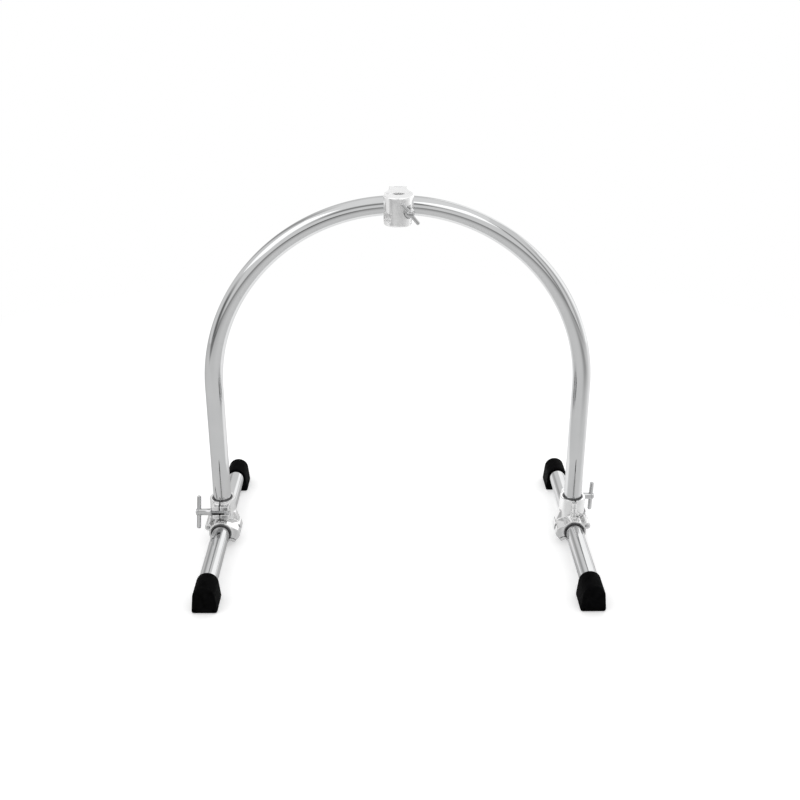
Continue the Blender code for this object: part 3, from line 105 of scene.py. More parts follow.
# Collar round each end of the arch
COLLAR_WALL = 0.0058
COLLAR_FLOOR_WALL = 0.0026
COLLAR_HEIGHT = 0.038
SPLIT_OFFSET = 0.002
HINGE_REACH = 0.0315
KNUCKLE_RADIUS = 0.0055
HINGE_PIN_RADIUS = 0.0025
PIN_FLOOR = 0.0018
KNUCKLE_HEIGHT = 0.0125
EAR_DEPTH = 0.0065
EAR_LENGTH = 0.0155
EAR_MARGIN = 0.0035
EAR_ROUNDING = 0.003
EAR_ROOT = 0.75  # of the bore
EAR_OVERHANG = 0.002
COLLAR_ROOT = 0.010
KNUCKLE_SUNK = 0.002
KNUCKLE_TOP = 0.0008
PIN_PROUD = 0.0006
PIN_ROUNDING = 0.3  # of the radius
WEB_WIDTH = 0.0045
WEB_RISE = (0.0005, 0.0012)

# Swing bolt and T-handle
BOLT_RADIUS = 0.004
BOLT_REACH = 0.033
PIVOT_OFFSET = 0.0115
EYE_RADIUS = 0.0055
EYE_HEIGHT = 0.0094
FORK_SLOT = 0.010
WASHER_THICKNESS = 0.0009
NUT_RADIUS = 0.0082
NUT_LENGTH = 0.0345
BAR = (0.0046, 0.072, 0.0074)  # radius, length, distance from the nut's end
BAR_ROUNDING = 0.8  # of the radius
BOLT_END_GAP = 0.0018
NECK_LENGTH = 0.003
NECK_OVERLAP = 0.0005
NUT_WAIST = NUT_RADIUS - 0.0008
NUT_TAPER = 0.45  # of the length
NUT_FLOOR = 0.0012
NUT_ROUNDING = 0.003
# Profiles of the nut: radius and distance from its outer end, then from its seat
NUT_BEAD = ((NUT_WAIST, 0.0055), (NUT_RADIUS, 0.0062), (NUT_RADIUS, 0.0068), (NUT_WAIST, 0.0075))
NUT_FOOT = ((NUT_RADIUS - 0.0006, 0.004), (NUT_RADIUS, 0.003), (NUT_RADIUS, 0.0004),
            (NUT_RADIUS - 0.0004, 0))
LEFT_BAR_TILT = radians(26)
RIGHT_BAR_TILT = radians(4)
THREAD_PITCH = 0.00125
THREAD_DEPTH = 0.5  # of the pitch
THREAD_CORE = 0.3  # of the pitch
WASHER_EASE = 0.25  # of the thickness

# Sleeve round each leg
SLEEVE_WALL = 0.0045
SLEEVE_FRONT = 0.052
SLEEVE_REAR = 0.036
SPLIT_TILT = radians(30)
LEG_HINGE_REACH = 0.030
LEG_KNUCKLE_RADIUS = 0.0082
LEG_PIN_RADIUS = 0.003
LEG_KNUCKLE_FRONT = SLEEVE_FRONT - 0.026
LEG_KNUCKLE_REAR = -SLEEVE_REAR + 0.016
LUG_BOLT_REACH = 0.0325
LUG_REACH = 0.0375
LUG_REAR = 0.004
LUG_BOLT_FORWARD = 0.028
LUG_BOLT_SPAN = (0.02, -0.06)
JAW_LUG_SETBACK = 0.003
BODY_LUG_SETBACK = 0.002
GUSSET_FRONT = -0.014
LEG_PIN_PROUD = 0.0008
JAW_LUG_THICKNESS = 0.0075
BODY_LUG_THICKNESS = 0.0165

# Drum-key bolts
KEY_BOLT_RADIUS = 0.0029
KEY_HEAD_WIDTH = 0.0063
KEY_HEAD_HEIGHT = 0.0055
KEY_WASHER_RADIUS = 0.0062
KEY_WASHER_THICKNESS = 0.001
KEY_NUT_RADIUS = 0.0056
KEY_NUT_HEIGHT = 0.005
KEY_SLOT_WIDTH = 0.0068
KEY_SLOT_SPAN = (-0.01, 0.05)
KEY_CORNER = KEY_HEAD_WIDTH * 0.7071  # half the diagonal
KEY_HEAD_DOME = (KEY_CORNER * 1.02, KEY_HEAD_HEIGHT, 0.0012)
KEY_NUT_DOME = (KEY_NUT_RADIUS * 1.01, KEY_NUT_HEIGHT, 0.0009)
KEY_PITCH = 0.001
KEY_FIT = 0.0001
KEY_SUNK = 0.002
KEY_REACH = 0.05

# Clamp on the crown of the arch
CROWN_HALF_WIDTH = 0.018
CROWN_WALL = 0.0062
CROWN_TOP = 0.0326
CROWN_BOTTOM = -0.0244
POST_DIAMETER = 0.0222
POST_FIT = 0.0006
POST_REACH = 0.044
POST_SHELL_RADIUS = 0.029
POST_SHELL_REACH = 0.054
POST_HINGE_SIDE = 0.0215
POST_SEAT_REACH = 0.072
POST_SEAT_RADIUS = 0.0135
POST_PIVOT_REACH = 0.0375
POST_NUT_LENGTH = 0.0225
POST_BAR = (0.0037, 0.052, 0.0055)
POST_BAR_TILT = radians(-50)
CROWN_HINGE_BACK = 0.019
CROWN_HINGE_UP = 0.0255
CROWN_KNUCKLE_RADIUS = 0.0068
CROWN_KNUCKLE_GAP_AT = 0.010
CROWN_EAR_DROP = 0.0315
CROWN_EAR_WIDTH = 0.016
CROWN_EAR_THICKNESS = 0.0115
CROWN_EAR_BELOW = 0.006
CROWN_EAR_ROUNDING = 0.005
CROWN_KEY_TIP = 0.0015
POST_RIM_BEVEL = 0.003
POST_RIM_ANGLE = radians(50)
POST_PIN_FLOOR = 0.006
POST_PIN_LIFT = 0.0003
POST_ROOM = 0.0005
POST_NOTCH = (0.0008, 0.0045, 0.0027)  # beside the hinge, behind it and in front of it
POST_SEAT_SHIFT = 0.0015
POST_SLOT_ROOM = 0.0006
POST_RECESS_DEPTH = 0.010
BUSH_TURN = 0.16

# Fineness of the surfaces
ROUND_SIDES = 96
SMALL_SIDES = 48
ARC_STEPS = 160
CORNER_STEPS = 8
CAST_VOXEL = 0.0006
CAST_SMOOTHING = 5
CAST_POLISH = 0.5
SMOOTH_ANGLE = radians(32)
FAR = 0.2
ON_AXIS = 1e-6
MERGED = 5e-6
STRAIGHT_STEPS = 24
LEG_STEPS = 40
BOOT_POINTS = 120
BOOT_ARC_STEPS = 40
BUSH_STEPS = 24
THREAD_SIDES = 36
THREAD_STEPS = 6

# Finishes: the material's name, its slot, the shader's inputs, its greys (scale, detail and
# distortion of the noise, the band that is used of it, the dark and the light grey), its
# roughness (scale, detail, least, most) and its bumps (scale, detail, strength, distance)
NOISE_LOW, NOISE_HIGH = BAND = (0.3, 0.7)
CAST_HAZE = (120, 4)
CAST_BUMPS = ((90, 2, 0.12, 0.0006), (1400, 3, 0.05, 0.0001))
CAST_TINT = (0.85, 0.85, 0.85, 1)
SURFACES = {
    # mirror plating on drawn tube, with the faint waves of polishing
    "tube": ("tube_chrome", "chrome", {"Metallic": 1.0, "Specular Tint": (0.75, 0.75, 0.75, 1)},
             (18, 2), BAND, (0.545, 0.550, 0.553), (0.575, 0.578, 0.580),
             (45, 4, 0.025, 0.075), ((30, 1, 0.05, 0.0006), (900, 2, 0.02, 0.0001))),
    # plating on polished castings: softer and a little uneven, its base brighter than the tube's as
    # painted light
    "cast": ("cast_chrome_painted_bright", "chrome", {"Metallic": 0.90, "Specular Tint": CAST_TINT},
             (60, 3), BAND, (0.70, 0.70, 0.70), (0.76, 0.76, 0.76),
             (*CAST_HAZE, 0.06, 0.15), CAST_BUMPS),
    # the crown's castings, satin, with a still brighter, partly diffuse base as painted light
    "crown": ("crown_chrome_painted_bright", "chrome", {"Metallic": 0.60, "Specular Tint": CAST_TINT},
              (60, 3), BAND, (0.87, 0.87, 0.87), (0.93, 0.93, 0.93),
              (*CAST_HAZE, 0.14, 0.23), CAST_BUMPS),
    # plating on turned T-nuts and bars
    "turned": ("turned_chrome", "chrome", {"Metallic": 1.0},
               (140, 3), BAND, (0.46, 0.462, 0.465), (0.52, 0.522, 0.525),
               (220, 4, 0.05, 0.14), ((160, 2, 0.08, 0.0004), (2400, 2, 0.05, 0.0001))),
    # zinc-plated steel of bolts, pins, washers and nuts
    "steel": ("steel", "steel", {"Metallic": 1.0},
              (260, 5, 0.4), BAND, (0.40, 0.405, 0.41), (0.58, 0.585, 0.59),
              (500, 4, 0.22, 0.38), ((1800, 4, 0.18, 0.0002),)),
    # matte black moulded rubber with a fine grain and rubbed, dusty patches
    "rubber": ("rubber", "rubber", {"Specular IOR Level": 0.008},
               (70, 5, 0.6), (0.35, 0.75), (0.0015, 0.0015, 0.0016), (0.0045, 0.0045, 0.0047),
               (160, 4, 0.50, 0.70), ((2600, 4, 0.35, 0.0003), (220, 2, 0.12, 0.0006))),
    # dark moulded nylon, smoother than the rubber
    "nylon": ("nylon", "nylon", {"Specular IOR Level": 0.5},
              (120, 3), BAND, (0.050, 0.050, 0.052), (0.085, 0.085, 0.088),
              (300, 3, 0.16, 0.30), ((1500, 3, 0.12, 0.0002),))}

# Studio: the floor's reach, and the darker things that metal shows of the room, each as
# azimuths, elevations, lean to the right as it rises, softness (degrees) and brightness
FLOOR_REACH = 3.8
DARK_THINGS = (((-27, 17), (24, 41), 0.0, 12, 0.30), ((31, 40), (-9, 43), 0.45, 8, 0.34),
               ((64, 75), (-8, 33), 0.45, 12, 0.50), ((-80, -53), (-16, 14), -0.6, 14, 0.22),
               ((-50, 30), (-24, -5), 0.0, 8, 0.60), ((-11, -3), (-18, -3), 0.0, 5, 0.30),
               ((-60, 30), (-10, -6), 0.0, 4, 0.55), ((-168, -144), (8, 60), 0.6, 14, 0.50))
# The floor as metal shows it, with painted shade in its colour: darker from near to far in front,
# darkest in two patches (stretches along X and Y, softness, brightness), and with a painted glow
# towards the back right
FLOOR_WHITE = 0.92
FLOOR_PAINTED_SHADE_SPAN = (0.8, 2.8)
FLOOR_PAINTED_SHADE_GREY = 0.48
FLOOR_PAINTED_SHADE_PATCHES = (((-3.6, -1.7), (-2.3, -0.8), 0.5, 0.40), ((0.7, 1.6), (-1.6, -0.6), 0.5, 0.60))
FLOOR_PAINTED_GLOW_WAY = (0.6, 1, 0)
FLOOR_PAINTED_GLOW_SPAN = (0.4, 0.9)
FLOOR_PAINTED_GLOW_STRENGTH = 0.5
# The floor as the camera sees it: lifted near the object and plain white from there on
FLOOR_GLOW = 0.28
FLOOR_FADE = (0.9, 2.0)
FILL = 0.80
# Soft panels: place, target, size and the brightness that they add in a mirror
LAMPS = {"overhead": ((0, -0.2, 2.8), (0, -0.2, 0), (3.6, 3.2), 0.15),
         "behind": ((1.7, 3.0, 1.85), (1.7, 0, 1.85), (2.0, 3.0), 0.60),
         "behind_right": ((3.1, 1.4, 1.2), (0, 0, 1.2), (2.4, 2.4), 0.60),
         "left": ((-2.15, -1.05, 2.45), (0, 0, 0.6), (2.1, 1.9), 0.80),
         "right": ((1.05, -1.6, 2.80), (0, 0, 0.6), (1.7, 1.3), 0.80)}
# Camera, from a fit to the photo: yaw, pitch and roll in degrees
EYE = (-0.0227, -2.0364, 1.2390)
EYE_TURN = (0.7505, 23.8955, 0.15)
EYE_LENS = 47.894
EYE_SENSOR = 36
EYE_CLIP = 50

# Sizes that follow from the ones above
BUSH_BORE = TUBE_RADIUS + CLEARANCE
BUSH_RADIUS = BUSH_BORE + BUSH_WALL
COLLAR_BORE = BUSH_RADIUS + CLEARANCE
COLLAR_RADIUS = COLLAR_BORE + COLLAR_WALL
COLLAR_FLOOR = LEG_AXIS_HEIGHT + COLLAR_BORE + COLLAR_FLOOR_WALL
COLLAR_TOP = COLLAR_FLOOR + COLLAR_HEIGHT
COLLAR_MIDDLE = (COLLAR_FLOOR + COLLAR_TOP) / 2
SLEEVE_RADIUS = COLLAR_BORE + SLEEVE_WALL
CROWN_HEIGHT = ARC_CENTRE_HEIGHT + ARC_RADIUS
CROWN_MIDDLE = (CROWN_TOP + CROWN_BOTTOM) / 2
CROWN = Matrix.Translation((0, ARCH_OFFSET, CROWN_HEIGHT))
ARC_SAG = ARC_RADIUS - sqrt(ARC_RADIUS ** 2 - CROWN_HALF_WIDTH ** 2)
CROWN_BUSH_BORE = TUBE_RADIUS + ARC_RUN_CLEARANCE
CROWN_BUSH_RADIUS = CROWN_BUSH_BORE + BUSH_WALL + ARC_SAG
CROWN_BORE = CROWN_BUSH_RADIUS + CLEARANCE
CROWN_RADIUS = CROWN_BORE + CROWN_WALL
POST_BORE = POST_DIAMETER / 2 + POST_FIT / 2
PIN_BORE = HINGE_PIN_RADIUS + CLEARANCE
KNUCKLE_CLEARANCE = CLEARANCE * 1.3
HALF_GAP = SPLIT_GAP / 2
COLLAR_HINGE = (0, HINGE_REACH)
BOLT_PIVOT = (PIVOT_OFFSET, -BOLT_REACH)
POST_AXIS = (0, -POST_REACH)
POST_HINGE = (-POST_HINGE_SIDE, -POST_REACH)
POST_PIVOT = (POST_HINGE_SIDE, -POST_PIVOT_REACH)
HALF_FORK = FORK_SLOT / 2
HALF_KEY_SLOT = KEY_SLOT_WIDTH / 2
BODY_SPLIT = -SPLIT_OFFSET + HALF_GAP
JAW_SPLIT = -SPLIT_OFFSET - HALF_GAP
EAR_LOW, EAR_HIGH = COLLAR_FLOOR + EAR_MARGIN, COLLAR_TOP - EAR_MARGIN
HINGE_LOW, HINGE_HIGH = COLLAR_FLOOR + KNUCKLE_HEIGHT, COLLAR_TOP - KNUCKLE_HEIGHT
JAW_LUG_END = HALF_GAP + JAW_LUG_THICKNESS
BODY_LUG_TOP = HALF_GAP + BODY_LUG_THICKNESS
CROWN_THIRD = (CROWN_TOP - CROWN_BOTTOM) / 3
POST_LOW, POST_HIGH = CROWN_BOTTOM + CROWN_THIRD, CROWN_TOP - CROWN_THIRD
POST_SPLIT = -POST_REACH + HALF_GAP
POST_WAIST = POST_SHELL_RADIUS - 0.0015
CROWN_REAR = CROWN_HALF_WIDTH - CASTING_STEP

# Outlines of the castings, with the rounding of each corner: the sleeve's lugs by reach
# along its split and drop across it (the root in plain X and Z), the gusset across the leg,
# the crown's body from above, the post jaw's recess from the front, the others from the side
JAW_LUG = ((COLLAR_BORE - 0.002, 0), (LUG_REACH, 0), (LUG_REACH - 0.001, JAW_LUG_END),
           (COLLAR_BORE - 0.004, JAW_LUG_END))
JAW_LUG_BENDS = (0, 0, 0.003, 0)
BODY_LUG = ((COLLAR_BORE - 0.003, 0), (LUG_REACH, 0), (LUG_REACH + 0.0015, 0.004 - BODY_LUG_TOP),
            (LUG_REACH - 0.008, -0.007 - BODY_LUG_TOP))
BODY_LUG_ROOT = (0.010, 0.022)
BODY_LUG_BENDS = (0, 0, 0.004, 0.005, 0)
GUSSET = ((0.015, 0.0), (0.0385, -0.004), (0.0375, 0.002), (COLLAR_RADIUS + 0.001, 0.030),
          (0.015, 0.040))
GUSSET_BENDS = (0, 0, 0.006, 0.004, 0)
CROWN_PLAN = ((-POST_WAIST, POST_SPLIT), (POST_WAIST, POST_SPLIT), (POST_WAIST, -0.033),
              (CROWN_REAR, -0.009), (CROWN_REAR, 0), (-CROWN_REAR, 0), (-CROWN_REAR, -0.009),
              (-POST_WAIST, -0.033))
CROWN_PLAN_BENDS = (0, 0, 0.006, 0.006, 0, 0, 0.006, 0.006)
CROWN_SADDLE = ((-0.010, 0.012), (-0.010, CROWN_TOP), (CROWN_HINGE_BACK - 0.0035, CROWN_TOP),
                (CROWN_HINGE_BACK - 0.0015, CROWN_HINGE_UP + 0.0055),
                (CROWN_HINGE_BACK + 0.004, CROWN_HINGE_UP - 0.004), (0.010, 0.0165))
POST_RECESS = ((-FAR, 0.005), (-0.0125, 0.001), (-0.0165, -0.016), (-FAR, -0.020))
ARCH_JAW_ROOF = ((-HALF_GAP, 0.0145), (0.010, 0.0155), (CROWN_HINGE_BACK + 0.005, 0.0175),
                 (FAR, 0.0175), (FAR, FAR), (-HALF_GAP, FAR))
ARCH_JAW_ARM = ((0.0126, 0.008), (0.0126, CROWN_HINGE_UP),
                (CROWN_HINGE_BACK, CROWN_HINGE_UP + 0.003),
                (CROWN_HINGE_BACK + CROWN_KNUCKLE_RADIUS - 0.001, CROWN_HINGE_UP),
                (CROWN_RADIUS - 0.001, 0.006), (CROWN_RADIUS - 0.003, 0))

BODY_OF = {node: body_of(solid)[0] for node, solid in frame["nodes"].items()}


# Materials

def add(tree, kind, inputs=(), **settings):
    """A shader node; an input that is another node's socket is linked, a number is set."""
    made = tree.nodes.new("ShaderNode" + kind)
    for name, value in settings.items():
        setattr(made, name, value)
    for name, value in dict(inputs).items():
        if isinstance(value, bpy.types.NodeSocket):
            tree.links.new(value, made.inputs[name])
        else:
            made.inputs[name].default_value = value
    return made


def material(name, inputs):
    """A Principled material with its constant inputs set."""
    made = bpy.data.materials.new(name)
    made.use_nodes = True
    shader = made.node_tree.nodes["Principled BSDF"]
    for socket, value in inputs.items():
        shader.inputs[socket].default_value = value
    return made, made.node_tree, shader


def noise(tree, scale, detail, distortion=0.0):
    """A noise value in the object's own metres."""
    place = add(tree, "TexCoord").outputs["Object"]
    return add(tree, "TexNoise", {"Vector": place, "Scale": scale, "Detail": detail,
                                  "Distortion": distortion}).outputs["Fac"]


def spread(tree, value, low, high, start=NOISE_LOW, end=NOISE_HIGH):
    """The value's middle range spread between two numbers."""
    return add(tree, "MapRange", {"Value": value, "From Min": start, "From Max": end,
                                  "To Min": low, "To Max": high}).outputs["Result"]


def tint(tree, value, dark, light, start=NOISE_LOW, end=NOISE_HIGH):
    """A colour between two by a value."""
    ramp = add(tree, "ValToRGB", {"Fac": value})
    for stop, place, colour in zip(ramp.color_ramp.elements, (start, end), (dark, light)):
        stop.position = place
        stop.color = (*colour, 1)
    return ramp.outputs["Color"]


def surface(name, slot, inputs, grain, band, dark, light, haze, layers):
    """The material and the slot of a row of SURFACES."""
    made, tree, shader = material(name, inputs)
    shade = tint(tree, noise(tree, *grain), dark, light, *band)
    tree.links.new(shade, shader.inputs["Base Color"])
    scale, detail, smooth, rough = haze
    dull = spread(tree, noise(tree, scale, detail), smooth, rough)
    tree.links.new(dull, shader.inputs["Roughness"])
    below = {}
    for scale, detail, strength, distance in layers:
        bump = add(tree, "Bump", {"Height": noise(tree, scale, detail), "Strength": strength,
                                  "Distance": distance, **below})
        below = {"Normal": bump.outputs["Normal"]}
    tree.links.new(below["Normal"], shader.inputs["Normal"])
    return made, slot


FINISHES = {finish: surface(*row) for finish, row in SURFACES.items()}


# Mesh tools

def guide(shape, name, place=Matrix.Identity(4)):
    """A working object: an operand for a Boolean, until it is finished as a piece."""
    mesh = bpy.data.meshes.new(name)
    shape.to_mesh(mesh)
    shape.free()
    thing = bpy.data.objects.new(name, mesh)
    thing.matrix_world = place
    bpy.context.scene.collection.objects.link(thing)
    return thing


def piece(thing, node, finish, sharp=True):
    """Apply what was built, dress it, and let it stand for its CAD node."""
    settle(thing)
    thing.name = node + "_dressed"
    thing.data.name = thing.name
    material, slot = FINISHES[finish]
    thing.data.materials.clear()
    thing.data.materials.append(material)
    thing.data.shade_smooth()
    if sharp:
        thing.data.set_sharp_from_angle(angle=SMOOTH_ANGLE)
    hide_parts(node)
    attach(thing, BODY_OF[node])


def settle(thing):
    """Apply all modifiers and the object's place to its mesh; its operands are removed."""
    operands = [step.object for step in thing.modifiers if step.type == "BOOLEAN"]
    bpy.context.view_layer.update()
    evaluated = thing.evaluated_get(bpy.context.evaluated_depsgraph_get())
    mesh = bpy.data.meshes.new_from_object(evaluated)
    thing.modifiers.clear()
    thing.data = mesh
    mesh.transform(thing.matrix_world)
    if thing.matrix_world.determinant() < 0:
        mesh.flip_normals()
    thing.matrix_world = Matrix.Identity(4)
    for operand in operands:
        bpy.data.objects.remove(operand, do_unlink=True)
    return thing


def cast(thing):
    """The solid with the soft edges of a polished casting."""
    settle(thing)
    grain = thing.modifiers.new("grain", "REMESH")
    grain.mode = "VOXEL"
    grain.voxel_size = CAST_VOXEL * 1
    polish = thing.modifiers.new("polish", "SMOOTH")
    polish.factor = CAST_POLISH
    polish.iterations = CAST_SMOOTHING
    return thing


def boolean(target, others, operation):
    for other in others:
        other.hide_render = True
        step = target.modifiers.new(operation, "BOOLEAN")
        step.object = settle(other)
        step.operation = operation
        step.solver = "EXACT"
    return target


def join(target, *others):
    return boolean(target, others, "UNION")


def cut(target, *others):
    return boolean(target, others, "DIFFERENCE")


def keep(target, *others):
    return boolean(target, others, "INTERSECT")


def upright(frame_at):
    """The frame's turn and place without its mirror, and the mirror's sign."""
    sign = -1 if frame_at.determinant() < 0 else 1
    return frame_at @ Matrix.Diagonal((sign, 1, 1, 1)), sign


def between(start, end):
    """Matrix at start with its Z along the way to end."""
    turn = (end - start).to_track_quat("Z", "Y").to_matrix().to_4x4()
    return Matrix.Translation(start) @ turn


def rod(frame_at, start, end, radius, sides=ROUND_SIDES):
    """A cylinder between two points."""
    start, end = frame_at @ Vector(start), frame_at @ Vector(end)
    length = (end - start).length
    shape = bmesh.new()
    bmesh.ops.create_cone(shape, cap_ends=True, segments=sides, radius1=radius, radius2=radius,
                          depth=length)
    bmesh.ops.translate(shape, vec=(0, 0, length / 2), verts=shape.verts)
    return guide(shape, "rod", between(start, end))


def block(frame_at, low, high):
    """A box between two corners."""
    low, high = Vector(low), Vector(high)
    shape = bmesh.new()
    bmesh.ops.create_cube(shape, size=1)
    bmesh.ops.scale(shape, vec=high - low, verts=shape.verts)
    placed, sign = upright(frame_at)
    centre = (low + high) / 2
    centre.x *= sign
    return guide(shape, "block", placed @ Matrix.Translation(centre))


def rounded(points, bends):
    """The outline with each corner replaced by an arc; 0 leaves it sharp."""
    outline = []
    count = len(points)
    for index, (corner, bend) in enumerate(zip(points, bends)):
        corner = Vector(corner)
        if not bend:
            outline.append(tuple(corner))
            continue
        back = (Vector(points[index - 1]) - corner).normalized()
        ahead = (Vector(points[(index + 1) % count]) - corner).normalized()
        half = acos(max(-1, min(1, back.dot(ahead)))) / 2
        middle = corner + (back + ahead).normalized() * (bend / sin(half))
        first = corner + back * (bend * cos(half) / sin(half)) - middle
        turn = pi - 2 * half
        side = 1 if back.x * ahead.y - back.y * ahead.x > 0 else -1
        for step in range(CORNER_STEPS + 1):
            angle = -side * turn * step / CORNER_STEPS
            outline.append((middle.x + first.x * cos(angle) - first.y * sin(angle),
                            middle.y + first.x * sin(angle) + first.y * cos(angle)))
    return outline


def plate(frame_at, outline, low, high, across="Z"):
    """A flat outline given thickness along Z, or along Y or X for an upright one."""
    places = {"Z": lambda x, y, at: (x, y, at), "Y": lambda x, y, at: (x, at, y),
              "X": lambda x, y, at: (at, x, y)}[across]
    shape = bmesh.new()
    rings = [[shape.verts.new(frame_at @ Vector(places(x, y, at))) for x, y in outline]
             for at in (low, high)]
    shape.faces.new(rings[0])
    shape.faces.new(rings[1])
    count = len(outline)
    for index in range(count):
        ahead = (index + 1) % count
        shape.faces.new((rings[0][index], rings[0][ahead], rings[1][ahead], rings[1][index]))
    bmesh.ops.recalc_face_normals(shape, faces=shape.faces)
    return guide(shape, "plate")


def loft(name, rings, loop=False):
    """A skin over rings of equal count; with loop the last ring meets the first."""
    shape = bmesh.new()
    made = [[shape.verts.new(point) for point in ring] for ring in rings]
    pairs = list(zip(made, made[1:])) + [(made[-1], made[0])] * loop
    for here, there in pairs:
        count = len(here)
        for index in range(count):
            ahead = (index + 1) % count
            shape.faces.new((here[index], here[ahead], there[ahead], there[index]))
    if not loop:
        shape.faces.new(made[0])
        shape.faces.new(made[-1])
    bmesh.ops.recalc_face_normals(shape, faces=shape.faces)
    return guide(shape, name)


def turned(frame_at, start, end, profile, sides=ROUND_SIDES):
    """A turned piece: (radius, height) points, heights measured from start towards end."""
    start, end = frame_at @ Vector(start), frame_at @ Vector(end)
    place = between(start, end)
    ring = profile[0][0] > 0 and profile[-1][0] > 0
    solid = [max(radius, ON_AXIS) for radius, _ in profile]
    rings = [[place @ Vector((radius * cos(2 * pi * turn / sides),
                              radius * sin(2 * pi * turn / sides), height))
              for turn in range(sides)] for radius, (_, height) in zip(solid, profile)]
    thing = loft("turned", rings, ring)
    shape = bmesh.new()
    shape.from_mesh(thing.data)
    bmesh.ops.remove_doubles(shape, verts=shape.verts, dist=MERGED)
    bmesh.ops.recalc_face_normals(shape, faces=shape.faces)
    shape.to_mesh(thing.data)
    shape.free()
    return thing


def dome(radius, top, drop):
    """Profile points of a rounded end, from the axis out and down to the side."""
    return [(radius * sin(pi / 2 * step / CORNER_STEPS),
             top - drop + drop * cos(pi / 2 * step / CORNER_STEPS))
            for step in range(CORNER_STEPS + 1)]


def thread(frame_at, start, end, radius, pitch=THREAD_PITCH):
    """A rod with a true helical thread cut into it."""
    start, end = frame_at @ Vector(start), frame_at @ Vector(end)
    place = between(start, end)
    length = (end - start).length
    steps = int(length / pitch * THREAD_STEPS)
    depth = pitch * THREAD_DEPTH
    rings = []
    for step in range(steps + 1):
        height = length * step / steps
        fade = min(1, (length - height) / pitch, height / pitch)
        ring = []
        for turn in range(THREAD_SIDES):
            phase = (height / pitch + turn / THREAD_SIDES) % 1
            here = radius - depth * abs(2 * phase - 1) * fade
            angle = 2 * pi * turn / THREAD_SIDES
            ring.append(place @ Vector((here * cos(angle), here * sin(angle), height)))
        rings.append(ring)
    return loft("thread", rings)


def hollow_tube(name, centres, normals, across):
    """A tube through the centres; each ring lies in the plane of its normal and across."""
    rings = []
    for radius, order in ((TUBE_RADIUS, 1), (TUBE_RADIUS - TUBE_WALL, -1)):
        for centre, normal in list(zip(centres, normals))[::order]:
            rings.append(circle(Vector(centre), Vector(normal), Vector(across), radius))
    return loft(name, rings, loop=True)


def circle(centre, first, second, radius):
    """Points round a centre in the plane of two directions."""
    return [centre + first * (radius * cos(angle)) + second * (radius * sin(angle))
            for angle in (2 * pi * turn / ROUND_SIDES for turn in range(ROUND_SIDES))]


# Arch, legs and boots

def make_arch():
    """The bent tube: straight uprights that run into half a circle."""
    foot = COLLAR_FLOOR + CLEARANCE
    low = [foot + (ARC_CENTRE_HEIGHT - foot) * step / STRAIGHT_STEPS
           for step in range(STRAIGHT_STEPS)]
    centres = [(-ARC_RADIUS, ARCH_OFFSET, height) for height in low]
    normals = [(-1, 0, 0)] * len(low)
    for step in range(ARC_STEPS + 1):
        angle = pi * step / ARC_STEPS
        outward = (-cos(angle), 0, sin(angle))
        centres.append((ARC_RADIUS * outward[0], ARCH_OFFSET,
                        ARC_CENTRE_HEIGHT + ARC_RADIUS * outward[2]))
        normals.append(outward)
    centres += [(ARC_RADIUS, ARCH_OFFSET, height) for height in reversed(low)]
    normals += [(1, 0, 0)] * len(low)
    piece(hollow_tube("arch", centres, normals, (0, 1, 0)), "arch_tube", "tube")


def boot_outline():
    """Tombstone section about the leg's axis: evenly spaced points with outward normals."""
    wide = SOLE_WIDTH / 2
    top = TUBE_RADIUS + FOOT_WALL
    reach = sqrt(wide ** 2 + LEG_AXIS_HEIGHT ** 2)
    tangent = acos(top / reach) - atan2(LEG_AXIS_HEIGHT, wide)
    arc = [tangent + (pi - 2 * tangent) * step / BOOT_ARC_STEPS
           for step in range(BOOT_ARC_STEPS + 1)]
    corners = [(-wide, -LEG_AXIS_HEIGHT), (wide, -LEG_AXIS_HEIGHT)]
    corners += [(top * cos(angle), top * sin(angle)) for angle in arc]
    bends = [FOOT_ROUNDING, FOOT_ROUNDING] + [0] * len(arc)
    return evenly([Vector(point) for point in rounded(corners, bends)], BOOT_POINTS)


def evenly(drawn, count):
    """Points at equal distances along a closed outline, with outward normals."""
    ends = drawn[1:] + drawn[:1]
    lengths = [(there - here).length for here, there in zip(drawn, ends)]
    whole = sum(lengths)
    points, index, passed = [], 0, 0.0
    for step in range(count):
        target = whole * step / count
        while passed + lengths[index] < target:
            passed += lengths[index]
            index += 1
        part = (target - passed) / lengths[index]
        points.append(drawn[index].lerp(ends[index], part))
    normals = []
    for index in range(count):
        along = (points[(index + 1) % count] - points[index - 1]).normalized()
        normals.append(Vector((along.y, -along.x)))
    return list(zip(points, normals))


